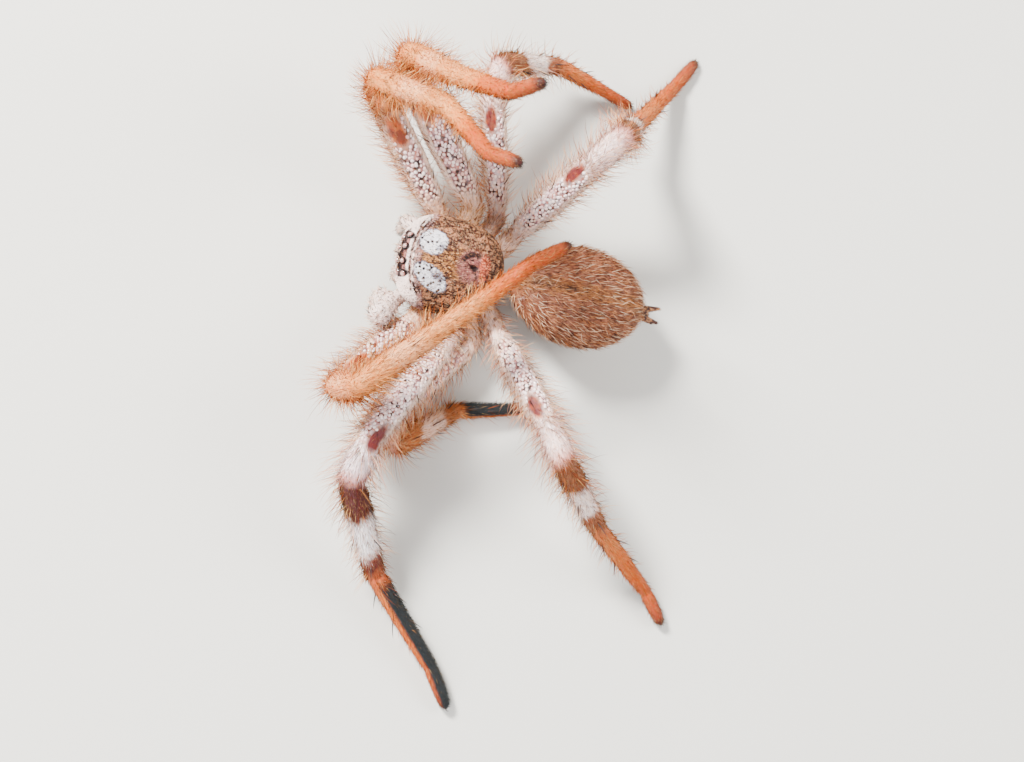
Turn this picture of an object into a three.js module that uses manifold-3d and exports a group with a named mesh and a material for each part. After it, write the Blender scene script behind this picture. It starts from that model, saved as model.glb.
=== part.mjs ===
// Huntsman spider, a still, life-size museum model. Millimetres, +Z up.
// The spider faces -Y, its left side is +X, and it stands on the plane z = 0.
// Places on the body are given as out (towards the spider's left), ahead (forwards) and up.
import * as THREE from 'three';
import { mergeVertices } from 'three/addons/utils/BufferGeometryUtils.js';
import Module from 'manifold-3d';

const wasm = await Module();
wasm.setup();

// Driving dimensions
const gap = 0.3;                 // clear space between neighbouring pieces
const carapaceHalfWidth = 5.15;
const carapaceAhead = 4.75;      // front edge, ahead of the body's reference point
const carapaceBehind = 6.6;      // rear edge, behind it
const carapaceUnder = 6.05;      // height of its flat underside
const carapaceRim = 6.4;         // height of its widest edge
const carapaceTop = 9.3;
const abdomenLength = 14.4;
const abdomenHalfWidth = 5.3;
const abdomenHalfHeight = 4.1;
const abdomenHeight = 6.0;       // height of its long axis
const sternumLow = 2.5;          // height of the underside of the breastplate
const coxaHeight = 4.05;
const limbSides = 8;

// Lengths of femur, patella, tibia, metatarsus and tarsus, pair by pair
const legLengths = [
  [13.5, 4.4, 11.2, 10.5, 4.4],
  [15.3, 4.6, 11.4, 11.4, 4.6],
  [13.0, 3.6, 8.5, 7.2, 3.6],
  [13.0, 4.2, 10.0, 10.5, 4.0],
];
const legThickness = [1.0, 1.02, 0.84, 0.92];

// Where each pair's coxa leaves the breastplate and where its hip ends, mirrored for the right side
const coxaRoots = [
  { out: 2.75, ahead: 0.1 },
  { out: 3.1, ahead: -1.9 },
  { out: 3.0, ahead: -3.9 },
  { out: 2.3, ahead: -5.8 },
];
const hips = [
  { out: 5.6, ahead: 1.1, up: 4.6 },
  { out: 7.0, ahead: -2.5, up: 5.1 },
  { out: 6.7, ahead: -5.45, up: 3.5 },
  { out: 5.2, ahead: -7.4, up: 4.4 },
];

// The pose: [turn, rise] of femur, patella, tibia, metatarsus and tarsus. Turn is in degrees from straight
// ahead towards the spider's left, rise in degrees above level. The first and second right legs and the first
// left leg are lifted; the other five stand.
const stance = {
  left: [
    [[52, 26], [169, 75], [-134, 2], [-133, 5], [-141, 8]],
    [[61, 19], [81, -16], [122, -30], [134, -9], [124, -7]],
    [[52, -2], [136, 38], [-139, -25], [-166, -5], [163, -7]],
    [[122, 30], [118, 23], [140, -36], [147, -30], [130, -9]],
  ],
  right: [
    [[-45, 27], [-38, 62], [151, 54], [121, 51], [159, 48]],
    [[-47, 21], [-41, 68], [133, 64], [137, 66], [-164, 59]],
    [[-72, 21], [-92, 26], [-160, -33], [174, -27], [169, -18]],
    [[-124, 47], [-126, 28], [-130, -62], [-126, -36], [-120, -8]],
  ],
};

// Swellings along each kind of segment: [share of its length, radius]
const coxaSwell = [[0, 0.8], [0.35, 1.08], [0.7, 1.2], [1, 1.12]];
const femurSwell = [[0, 1.15], [0.14, 1.5], [0.5, 1.75], [0.82, 1.65], [1, 1.5]];
const patellaSwell = [[0, 1.5], [0.5, 1.6], [1, 1.4]];
const tibiaSwell = [[0, 1.4], [0.2, 1.45], [0.65, 1.25], [1, 1.15]];
const metatarsusSwell = [[0, 1.1], [0.3, 1.05], [1, 0.85]];
const tarsusSwell = [[0.35, 0.85], [0.75, 0.78], [0.95, 0.55], [1, 0.25]];

// Locks of bristles, flat and tapered, and single spines. Lengths in mm, lift in degrees off the limb.
const longLock = { length: 2.6, width: 1.7, thickness: 0.6, sunk: 0.6, lift: 50, sides: 4 };
const shortLock = { length: 1.6, width: 1.2, thickness: 0.5, sunk: 0.5, lift: 34, sides: 4 };
const spine = { length: 2.4, width: 0.55, thickness: 0.55, sunk: 0.5, lift: 52, sides: 3 };
const lockBend = 24;             // degrees that a lock bends over
const lockTip = 0.14;            // its size at the tip, as a share of its widest

// Rows along a segment: degrees round the limb, from its side over the top, then the shares along it
const femurLocks = [[-15, 0.5, 0.85], [-70, 0.35, 0.7], [-112, 0.52, 0.88], [-165, 0.35, 0.7]];
const patellaLocks = [[-10, 0.55], [65, 0.35], [135, 0.6], [-155, 0.35], [-85, 0.6]];
const tibiaLocks = [[-5, 0.25, 0.7], [70, 0.45], [125, 0.2, 0.8], [180, 0.5], [-90, 0.35]];
const footLocks = [[0, 0.3, 0.75], [180, 0.15, 0.55]];
const tibiaSpines = [[35, 0.3, 0.72], [150, 0.5]];
const footSpines = [[40, 0.3], [140, 0.5]];

const colours = {
  carapace: '#b58d78', flesh: '#b9967f', fur: '#d9925f', foot: '#c9783f',
  eye: '#15100f', fang: '#2a1714', abdomen: '#9a7c6c',
};

// The six segments of a leg, with the gap left at their two ends
const segments = [
  { part: 'coxa', swell: coxaSwell, startTrim: 0, endTrim: gap / 2,
    colour: colours.flesh, locks: [], spines: [], lockSize: shortLock },
  { part: 'femur', swell: femurSwell, startTrim: gap / 2, endTrim: gap / 2,
    colour: colours.fur, locks: femurLocks, spines: [], lockSize: longLock },
  { part: 'patella', swell: patellaSwell, startTrim: gap / 2, endTrim: gap / 2,
    colour: colours.fur, locks: patellaLocks, spines: [], lockSize: longLock },
  { part: 'tibia', swell: tibiaSwell, startTrim: gap / 2, endTrim: gap / 2,
    colour: colours.fur, locks: tibiaLocks, spines: tibiaSpines, lockSize: longLock },
  { part: 'foot', swell: metatarsusSwell, startTrim: gap / 2, endTrim: 0,
    colour: colours.foot, locks: footLocks, spines: footSpines, lockSize: shortLock },
  { part: 'foot', swell: tarsusSwell, startTrim: 0, endTrim: 0 },
];

// Rough forms of the body, which the coat keeps clear of
const bodyForms = [
  { centre: new THREE.Vector3(0, 0.95, 6.2), half: new THREE.Vector3(5.2, 5.7, 3.0) },
  { centre: new THREE.Vector3(0, 14.8, 6.0), half: new THREE.Vector3(5.3, 7.3, 4.1) },
];

const spider = new THREE.Group();
const UP = new THREE.Vector3(0, 0, 1);

function place(out, ahead, up) {
  return new THREE.Vector3(out, -ahead, up);
}

function heading(turn, rise) {
  const t = THREE.MathUtils.degToRad(turn);
  const r = THREE.MathUtils.degToRad(rise);
  return place(Math.sin(t) * Math.cos(r), Math.cos(t) * Math.cos(r), Math.sin(r));
}

// A solid for joining and cutting, from a closed geometry
function solidOf(geometry) {
  const bare = geometry.clone();
  bare.deleteAttribute('normal');
  bare.deleteAttribute('uv');
  const closed = mergeVertices(bare, 1e-5);
  return new wasm.Manifold(new wasm.Mesh({
    numProp: 3,
    vertProperties: new Float32Array(closed.attributes.position.array),
    triVerts: new Uint32Array(closed.index.array),
  }));
}

// The largest closed surface of a solid, as a geometry
function geometryOf(solid) {
  const pieces = solid.decompose();
  pieces.sort((a, b) => b.volume() - a.volume());
  const mesh = pieces[0].getMesh();
  const geometry = new THREE.BufferGeometry();
  geometry.setAttribute('position', new THREE.BufferAttribute(new Float32Array(mesh.vertProperties), 3));
  geometry.setIndex(new THREE.BufferAttribute(new Uint32Array(mesh.triVerts), 1));
  geometry.computeVertexNormals();
  return geometry;
}

function addPiece(name, geometry, colour, roughness = 0.8) {
  const finish = new THREE.MeshStandardMaterial({ color: colour, roughness, metalness: 0 });
  const piece = new THREE.Mesh(geometry, finish);
  piece.name = name;
  spider.add(piece);
  return piece;
}

// A round bar bent and swollen along a path: a cylinder whose rings are set one by one.
// Each ring has a centre and two half-axes, across and over.
function bentBar(rings, sides) {
  const bar = new THREE.CylinderGeometry(1, 1, 1, sides, rings.length - 1);
  const spots = bar.attributes.position;
  for (let i = 0; i < spots.count; i++) {
    const ring = rings[Math.round((spots.getY(i) + 0.5) * (rings.length - 1))];
    const spot = ring.centre.clone()
      .addScaledVector(ring.across, spots.getX(i))
      .addScaledVector(ring.over, spots.getZ(i));
    spots.setXYZ(i, spot.x, spot.y, spot.z);
  }
  return bar;
}

// Rings of one limb segment. Its ends lie in the planes that halve the bends to its neighbours.
function segmentRings(from, to, swell, thickness, startPlane, endPlane) {
  const along = to.clone().sub(from).normalize();
  const across = along.clone().cross(UP).normalize();
  const over = across.clone().cross(along);
  return swell.map(([share, radius]) => {
    const slanted = (axis) => {
      const start = -axis.dot(startPlane) / along.dot(startPlane);
      const end = -axis.dot(endPlane) / along.dot(endPlane);
      return axis.clone()
        .addScaledVector(along, THREE.MathUtils.lerp(start, end, share))
        .multiplyScalar(radius * thickness);
    };
    return { centre: from.clone().lerp(to, share), across: slanted(across), over: slanted(over) };
  });
}

function bisector(before, after) {
  return before.clone().add(after).normalize();
}

// What lies under the floor is cut away, which leaves a small flat where a piece rests
const groundDepth = 20;
const groundWidth = 200;
const ground = solidOf(new THREE.BoxGeometry(groundWidth, groundWidth, groundDepth)
  .translate(0, 0, -groundDepth / 2));

// Seeded draw, so that the coat comes out the same every time
let seed = 20260;
function draw(low, high) {
  seed = (seed * 1664525 + 1013904223) % 4294967296;
  return low + (high - low) * (seed / 4294967296);
}

// Tapered bars that a lock or spine has to stay clear of: limb segments, palps and the locks already there
const bars = [];

function reserve(node, from, to, fromRadius, toRadius) {
  bars.push({ node, from, along: to.clone().sub(from), fromRadius, toRadius });
}

function distanceToBar(point, bar) {
  const reach = point.clone().sub(bar.from).dot(bar.along) / bar.along.lengthSq();
  const share = THREE.MathUtils.clamp(reach, 0, 1);
  const nearest = bar.from.clone().addScaledVector(bar.along, share);
  return nearest.distanceTo(point) - THREE.MathUtils.lerp(bar.fromRadius, bar.toRadius, share);
}

function distanceToBody(point) {
  const distances = bodyForms.map(({ centre, half }) => {
    const reach = point.clone().sub(centre).divide(half).length();
    return (reach - 1) * Math.min(half.x, half.y, half.z);
  });
  return Math.min(...distances);
}

function isClear(node, point) {
  return point.z > gap
    && distanceToBody(point) > gap
    && bars.every((bar) => bar.node === node || distanceToBar(point, bar) > gap);
}

// A flat, tapered lock. It rises from the limb at the given lift and bends back towards the limb's tip.
// Where it would meet a neighbour it stands up more, and where that doesn't help either there is none.
function lock(node, surface, outward, along, size) {
  const sideways = outward.clone().cross(along).normalize();
  const leaning = (degrees) => {
    const angle = THREE.MathUtils.degToRad(degrees);
    return outward.clone().multiplyScalar(Math.sin(angle)).addScaledVector(along, Math.cos(angle));
  };
  const ring = (centre, direction, width, thickness) => ({
    centre,
    across: sideways.clone().multiplyScalar(width / 2),
    over: sideways.clone().cross(direction).normalize().multiplyScalar(thickness / 2),
  });
  for (const lift of [size.lift, size.lift + 20, size.lift + 40]) {
    const root = surface.clone().addScaledVector(leaning(lift), -size.sunk);
    const waist = surface.clone().addScaledVector(leaning(lift), size.length / 2);
    const tip = waist.clone().addScaledVector(leaning(lift - lockBend), size.length / 2);
    const edges = [surface.clone().lerp(waist, 0.5), waist].flatMap((spot) => [
      spot.clone().addScaledVector(sideways, size.width / 2),
      spot.clone().addScaledVector(sideways, -size.width / 2),
    ]);
    if (![...edges, waist.clone().lerp(tip, 0.5), tip].every((point) => isClear(node, point))) continue;
    reserve(node, waist, tip, size.width / 2, size.width * lockTip);
    return bentBar([
      ring(root, leaning(lift), size.width * 0.8, size.thickness),
      ring(waist, leaning(lift - lockBend / 2), size.width, size.thickness),
      ring(tip, leaning(lift - lockBend), size.width * lockTip, size.thickness * lockTip),
    ], size.sides);
  }
  return null;
}

// Radius at a share of a segment's length, between the two swellings on either side of it
function radiusAt(swell, share) {
  const after = swell.findIndex(([s]) => s >= share);
  const [s0, r0] = swell[after - 1];
  const [s1, r1] = swell[after];
  return THREE.MathUtils.mapLinear(share, s0, s1, r0, r1);
}

// The locks or spines of one segment, row by row
function coat(node, from, to, swell, thickness, rows, size) {
  const along = to.clone().sub(from).normalize();
  const across = along.clone().cross(UP).normalize();
  const over = across.clone().cross(along);
  const grown = [];
  for (const [degrees, ...shares] of rows) {
    for (const share of shares) {
      const angle = THREE.MathUtils.degToRad(degrees + draw(-8, 8));
      const outward = across.clone().multiplyScalar(Math.cos(angle)).addScaledVector(over, Math.sin(angle));
      const surface = from.clone().lerp(to, share)
        .addScaledVector(outward, thickness * radiusAt(swell, share) * 0.92);
      grown.push(lock(node, surface, outward, along, { ...size, length: size.length * draw(0.85, 1.15) }));
    }
  }
  return grown.filter(Boolean);
}

// The joints, directions and joint planes of one leg
function layOut(sideName, pair) {
  const side = sideName === 'left' ? 1 : -1;
  const root = place(side * coxaRoots[pair].out, coxaRoots[pair].ahead, coxaHeight);
  const hip = place(side * hips[pair].out, hips[pair].ahead, hips[pair].up);
  const aims = [hip.clone().sub(root).normalize()];
  aims.push(...stance[sideName][pair].map((aim) => heading(...aim)));
  const joints = [root, hip];
  legLengths[pair].forEach((length, i) => {
    joints.push(joints.at(-1).clone().addScaledVector(aims[i + 1], length));
  });
  const planes = [aims[0], ...aims.slice(1).map((aim, i) => bisector(aims[i], aim)), aims.at(-1)];
  const name = `leg_${sideName}_${pair + 1}`;
  const thickness = legThickness[pair];
  segments.forEach(({ part, swell }, i) => {
    const radius = thickness * Math.max(...swell.map(([, r]) => r));
    reserve(`${name}_${part}`, joints[i], joints[i + 1], radius, radius);
  });
  return { name, thickness, joints, aims, planes };
}

// One leg, segment by segment. The metatarsus and tarsus are one piece, the foot.
function grow(leg) {
  const ends = segments.map(({ startTrim, endTrim }, i) => [
    leg.joints[i].clone().addScaledVector(leg.aims[i], startTrim / leg.aims[i].dot(leg.planes[i])),
    leg.joints[i + 1].clone().addScaledVector(leg.aims[i], -endTrim / leg.aims[i].dot(leg.planes[i + 1])),
  ]);
  const ringsOf = (i) => segmentRings(
    ...ends[i], segments[i].swell, leg.thickness, leg.planes[i], leg.planes[i + 1]);
  segments.slice(0, 5).forEach(({ part, swell, colour, locks, spines, lockSize }, i) => {
    const node = `${leg.name}_${part}`;
    const rings = part === 'foot' ? [...ringsOf(4), ...ringsOf(5)] : ringsOf(i);
    const pieces = [
      bentBar(rings, limbSides),
      ...coat(node, ...ends[i], swell, leg.thickness, spines, spine),
      ...coat(node, ...ends[i], swell, leg.thickness, locks, lockSize),
    ];
    addPiece(node, geometryOf(joined(pieces).subtract(ground)), colour);
  });
}

// Carapace: a low dome with a flat underside, rounder in front than behind
function carapace() {
  const dome = new THREE.SphereGeometry(1, 22, 12);
  dome.rotateX(Math.PI / 2);
  const spots = dome.attributes.position;
  const squareness = 2.5;        // of the plan, 2 being an ellipse
  const fullness = 0.62;         // of the profile, less being flatter on top
  for (let i = 0; i < spots.count; i++) {
    const [out, ahead, up] = [spots.getX(i), -spots.getY(i), spots.getZ(i)];
    const turn = Math.atan2(ahead, out);
    const corner = Math.pow(
      Math.pow(Math.abs(Math.cos(turn)), squareness) + Math.pow(Math.abs(Math.sin(turn)), squareness),
      -1 / squareness);
    const reach = ahead > 0 ? carapaceAhead : carapaceBehind;
    const height = up > 0
      ? carapaceRim + (carapaceTop - carapaceRim) * Math.pow(up, fullness)
      : carapaceRim + (carapaceRim - carapaceUnder) * Math.max(up * 2.5, -1);
    spots.setXYZ(i, out * carapaceHalfWidth * corner, -ahead * reach * corner, height);
  }
  return dome;
}

const eyes = [
  ['front_middle', 0.64, 4.55, 7.1, 0.4],
  ['front_side', 1.78, 4.3, 7.0, 0.42],
  ['rear_middle', 0.76, 4.2, 8.15, 0.34],
  ['rear_side', 1.98, 3.85, 7.95, 0.4],
];
const eyeGap = 0.34;

function head() {
  let shell = solidOf(carapace());
  for (const [name, out, ahead, up, radius] of eyes) {
    for (const [sideName, side] of [['left', 1], ['right', -1]]) {
      const centre = place(side * out, ahead, up);
      const socket = new THREE.SphereGeometry(radius + eyeGap, 7, 5).translate(...centre);
      shell = shell.subtract(solidOf(socket));
      const lens = new THREE.SphereGeometry(radius, 8, 6).translate(...centre);
      addPiece(`eye_${name}_${sideName}`, lens, colours.eye, 0.1);
    }
  }
  addPiece('carapace', geometryOf(shell), colours.carapace);
}

function ellipsoid(centre, half, wide = 14, high = 10) {
  return new THREE.SphereGeometry(1, wide, high)
    .rotateX(Math.PI / 2)
    .scale(half[0], half[1], half[2])
    .translate(centre.x, centre.y, centre.z);
}

// A rounded bar from one point to another, thicker at one end if need be
function bead(from, to, startRadius, endRadius, sides = 7) {
  const along = to.clone().sub(from).normalize();
  const rings = [[-0.92, 0.4, 0], [-0.55, 0.84, 0], [0, 1, 0], [0, 1, 1], [0.55, 0.84, 1], [0.92, 0.4, 1]];
  const across = along.clone().cross(Math.abs(along.z) > 0.9 ? place(0, 1, 0) : UP).normalize();
  const over = across.clone().cross(along);
  return bentBar(rings.map(([beyond, share, end]) => {
    const radius = end ? endRadius : startRadius;
    return {
      centre: (end ? to : from).clone().addScaledVector(along, beyond * radius),
      across: across.clone().multiplyScalar(radius * share),
      over: over.clone().multiplyScalar(radius * share),
    };
  }), sides);
}

function joined(geometries) {
  return geometries.map(solidOf).reduce((whole, next) => whole.add(next));
}

function sternum() {
  const top = carapaceUnder - gap;
  const plate = ellipsoid(place(0, -2.75, (sternumLow + top) / 2), [2.45, 3.1, (top - sternumLow) / 2]);
  const lip = ellipsoid(place(0, 0.6, 3.7), [1.5, 1.1, 1.1], 12, 8);
  addPiece('sternum', geometryOf(joined([plate, lip])), colours.flesh);
}

function abdomen() {
  const front = carapaceBehind + gap;
  const halfLength = abdomenLength / 2;
  const bag = ellipsoid(place(0, -(front + 0.7 + halfLength), abdomenHeight),
    [abdomenHalfWidth, halfLength, abdomenHalfHeight], 22, 13);
  const waistStart = place(0, -(front + 0.6), abdomenHeight);
  const waistEnd = place(0, -(front + 2), abdomenHeight);
  const waist = bead(waistStart, waistEnd, 0.6, 0.9);
  addPiece('abdomen', geometryOf(joined([bag, waist])), colours.abdomen);
  const tail = front + 0.7 + abdomenLength + gap;
  const cluster = [ellipsoid(place(0, -(tail + 0.36), abdomenHeight - 0.6), [0.95, 0.45, 0.75], 8, 6)];
  for (const [out, up, length, radius] of [[0.5, 0.2, 1.3, 0.4], [0.45, -0.45, 1.0, 0.38]]) {
    for (const side of [1, -1]) {
      const root = place(side * out, -(tail + 0.4), abdomenHeight - 0.6 + up);
      const tip = root.clone().add(place(side * 0.25, -length, up * 0.4));
      cluster.push(bead(root, tip, radius, radius * 0.55, 6));
    }
  }
  addPiece('spinnerets', geometryOf(joined(cluster)), colours.flesh);
}

// Rings along a chain of knots, each [out, ahead, up, radius], turned with the path
function knotRings(side, knots) {
  const centres = knots.map(([out, ahead, up]) => place(side * out, ahead, up));
  return knots.map((knot, i) => {
    const before = centres[Math.max(i - 1, 0)];
    const after = centres[Math.min(i + 1, knots.length - 1)];
    const along = after.clone().sub(before).normalize();
    const across = along.clone().cross(place(0, 1, 0)).normalize();
    const over = across.clone().cross(along);
    const radius = knot[3];
    return { centre: centres[i], across: across.multiplyScalar(radius), over: over.multiplyScalar(radius) };
  });
}

function jaws(sideName) {
  const side = sideName === 'left' ? 1 : -1;
  const jaw = [[1.32, 2.95, 5.2, 0.95], [1.32, 3.15, 4.7, 1.12], [1.32, 3.4, 3.6, 1.15],
    [1.32, 3.4, 2.5, 1.0], [1.32, 3.3, 1.9, 0.6]];
  addPiece(`chelicera_${sideName}`, bentBar(knotRings(side, jaw), 12), colours.flesh);
  const fang = [[1.45, 3.2, 1.25, 0.32], [1.2, 2.6, 0.95, 0.3],
    [0.85, 2.1, 0.85, 0.22], [0.5, 1.75, 0.85, 0.1]];
  addPiece(`fang_${sideName}`, bentBar(knotRings(side, fang), 8), colours.fang, 0.25);
}

function palp(sideName, knots) {
  const side = sideName === 'left' ? 1 : -1;
  const beads = [];
  for (let i = 0; i + 1 < knots.length; i++) {
    const [out, ahead, up, radius] = knots[i];
    const [nextOut, nextAhead, nextUp, nextRadius] = knots[i + 1];
    const from = place(side * out, ahead, up);
    const to = place(side * nextOut, nextAhead, nextUp);
    beads.push(bead(from, to, radius, nextRadius));
    reserve(`palp_${sideName}`, from, to, radius, nextRadius);
  }
  addPiece(`palp_${sideName}`, geometryOf(joined(beads).subtract(ground)), colours.flesh);
}

head();
sternum();
abdomen();
for (const sideName of ['left', 'right']) {
  jaws(sideName);
}
palp('left', [[3.3, 2.7, 4.0, 0.65], [4.6, 4.1, 5.2, 0.92], [6.65, 5.5, 7.65, 1.2],
  [4.6, 5.1, 4.8, 1.15], [4.1, 4.6, 0.5, 0.6]]);
palp('right', [[3.3, 2.7, 3.9, 0.65], [4.1, 3.2, 3.6, 0.9], [4.4, 3.6, 2.4, 0.95], [4.0, 3.9, 0.5, 0.6]]);

const legs = ['left', 'right'].flatMap((sideName) => [0, 1, 2, 3].map((pair) => layOut(sideName, pair)));
legs.forEach(grow);

// The origin is under the middle of the whole spider
const extent = new THREE.Box3().setFromObject(spider);
const middle = extent.getCenter(new THREE.Vector3());
for (const piece of spider.children) piece.position.set(-middle.x, -middle.y, 0);

export default spider;
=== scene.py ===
# %% [markdown]
# A life-size huntsman spider, kept still in one pose, as a museum shows it. The body and the eight legs are
# already solid pieces in the frame. This script dresses them: a fine skin for each limb, glossy eyes and
# fangs, hundreds of pearly granules on the thighs, and a coat of real hairs, each one a small mesh.

# %% Load the frame
import math
from types import SimpleNamespace

import bmesh
import bpy
import numpy as np
from mathutils import Matrix, Vector


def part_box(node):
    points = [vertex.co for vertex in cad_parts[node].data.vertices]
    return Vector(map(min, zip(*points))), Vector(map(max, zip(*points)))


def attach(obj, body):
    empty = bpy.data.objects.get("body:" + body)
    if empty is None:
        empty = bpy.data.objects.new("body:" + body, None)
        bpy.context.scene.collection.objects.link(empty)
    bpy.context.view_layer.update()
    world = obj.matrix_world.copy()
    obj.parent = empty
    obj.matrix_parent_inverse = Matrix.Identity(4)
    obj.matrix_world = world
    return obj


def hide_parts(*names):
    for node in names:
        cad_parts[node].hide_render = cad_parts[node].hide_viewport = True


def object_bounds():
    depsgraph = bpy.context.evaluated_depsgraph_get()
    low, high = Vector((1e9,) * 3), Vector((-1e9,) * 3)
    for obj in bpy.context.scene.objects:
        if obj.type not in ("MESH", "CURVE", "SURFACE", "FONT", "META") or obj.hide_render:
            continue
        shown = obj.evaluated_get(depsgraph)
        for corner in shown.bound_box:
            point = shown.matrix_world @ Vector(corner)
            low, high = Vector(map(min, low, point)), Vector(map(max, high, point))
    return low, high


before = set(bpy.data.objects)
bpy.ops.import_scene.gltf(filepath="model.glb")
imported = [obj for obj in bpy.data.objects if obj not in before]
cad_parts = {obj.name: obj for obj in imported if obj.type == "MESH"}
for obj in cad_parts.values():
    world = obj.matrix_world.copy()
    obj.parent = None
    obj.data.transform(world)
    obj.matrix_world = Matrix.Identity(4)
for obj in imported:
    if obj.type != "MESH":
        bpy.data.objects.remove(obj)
cad_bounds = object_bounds()
MM = 0.001
rng = np.random.default_rng(20260)
print("nodes in the frame:", len(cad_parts))

# %% [markdown]
# Every place on the animal is told from one reference point on the floor under its body: how far out to its
# left, how far ahead, and how far up, in millimetres. The spider faces -Y and its left is +X. The carapace
# node says where that point is, so nothing has to be fitted by eye.

# %% Reference point
CARAPACE_AHEAD = 4.75
CARAPACE_BEHIND = 6.6
carapace_low, carapace_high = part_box("carapace")
BODY = Vector((
    (carapace_low.x + carapace_high.x) / 2,
    carapace_high.y - CARAPACE_BEHIND * MM,
    0,
))


def place(out, ahead, up):
    return BODY + Vector((out, -ahead, up)) * MM


def places(body_mm):
    """The same for an array of (out, ahead, up)."""
    return np.array(BODY) + body_mm * (MM, -MM, MM)


print("reference point in mm:", [round(value / MM, 2) for value in BODY])

# %% [markdown]
# Three helpers turn finished data into objects of the scene. The last one also makes every face smooth and
# turns it outwards.

# %% Adding objects
def add_object(name, data):
    thing = bpy.data.objects.new(name, data)
    bpy.context.collection.objects.link(thing)
    return thing


def add_mesh(bm, name):
    mesh = bpy.data.meshes.new(name)
    bm.to_mesh(mesh)
    bm.free()
    return add_object(name, mesh)


def add_skin(bm, name):
    bmesh.ops.recalc_face_normals(bm, faces=bm.faces)
    for face in bm.faces:
        face.smooth = True
    return add_mesh(bm, name)


# %% [markdown]
# The camera looks down steeply from the spider's front and left, rolled so that the head points to the left
# of the picture. Two tilts and the picture direction of "forwards" say all of that. A long lens from 28 cm
# away gives the flat perspective of a close-up. The camera is placed so that a point 6 mm above the
# reference point falls on its pixel.

# %% Camera
FRAME_WIDTH = 1024
FRAME_HEIGHT = 762
BODY_PIXEL = (439.8, 265.4)
PIXELS_PER_MM = 9.7
CAMERA_DISTANCE = 280
TILT_FRONT = 12
TILT_LEFT = 9
FORWARD_IN_PICTURE = (-0.976, 0.216)
SENSOR = 36

toward = Vector((math.tan(math.radians(TILT_LEFT)), -math.tan(math.radians(TILT_FRONT)), 1)).normalized()
forward = Vector((0, -1, 0))
forward_seen = (forward - toward * forward.dot(toward)).normalized()
left_seen = toward.cross(forward_seen)
picture_right = FORWARD_IN_PICTURE[0] * forward_seen - FORWARD_IN_PICTURE[1] * left_seen
picture_up = FORWARD_IN_PICTURE[1] * forward_seen + FORWARD_IN_PICTURE[0] * left_seen
across_mm = (FRAME_WIDTH / 2 - BODY_PIXEL[0]) / PIXELS_PER_MM
up_mm = (BODY_PIXEL[1] - FRAME_HEIGHT / 2) / PIXELS_PER_MM
aim = place(0, 0, 6)
camera_place = aim + MM * (
    toward * CAMERA_DISTANCE + picture_right * across_mm + picture_up * up_mm)

camera_data = bpy.data.cameras.new("camera")
camera_data.sensor_width = SENSOR
camera_data.lens = PIXELS_PER_MM * CAMERA_DISTANCE / FRAME_WIDTH * SENSOR
camera_data.clip_start = 0.01
camera = add_object("camera", camera_data)
camera.matrix_world = Matrix.Translation(camera_place) @ Matrix(
    (picture_right, picture_up, toward)).transposed().to_4x4()
bpy.context.scene.camera = camera
print("camera is", round(camera_place.z / MM), "mm above the floor")

# %% [markdown]
# Soft studio light: one broad lamp from the front and right, where the daylight falls from, a weaker one on
# the other side and one from behind, and a pale surround that fills the shadows.

# %% Lights and surround
LAMPS = (    # name, place in mm, width in metres, watts, colour
    ("key_lamp", (-190, 300, 330), 0.12, 10.8, (1.0, 0.97, 0.92)),
    ("fill_lamp", (330, 160, 260), 0.4, 2.6, (0.98, 0.98, 1.0)),
    ("back_lamp", (-130, -340, 300), 0.3, 2.6, (1.0, 0.98, 0.95)),
)
for name, spot, width, power, colour in LAMPS:
    lamp_data = bpy.data.lights.new(name, "AREA")
    lamp_data.shape = "DISK"
    lamp_data.size = width
    lamp_data.energy = power
    lamp_data.color = colour
    lamp = add_object(name, lamp_data)
    lamp.location = place(*spot)
    lamp.rotation_euler = (aim - lamp.location).to_track_quat("-Z", "Y").to_euler()

surround = bpy.data.worlds.new("surround")
surround.use_nodes = True
background = surround.node_tree.nodes["Background"].inputs
background["Color"].default_value = (0.98, 0.97, 1.0, 1)
background["Strength"].default_value = 0.38
bpy.context.scene.world = surround

# %% [markdown]
# Colours are written as the six hex digits that a paint program shows, and turned into the linear values
# that Blender's shaders work with. A material here is one Principled shader. Its colour is mixed by short
# calls, such as mix, step, ramp and noise, so that each finish below reads as a recipe.

# %% Colour and node helpers
def hue(digits):
    shown = [int(digits[i:i + 2], 16) / 255 for i in (0, 2, 4)]
    return [v / 12.92 if v <= 0.04045 else ((v + 0.055) / 1.055) ** 2.4 for v in shown] + [1]


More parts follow.
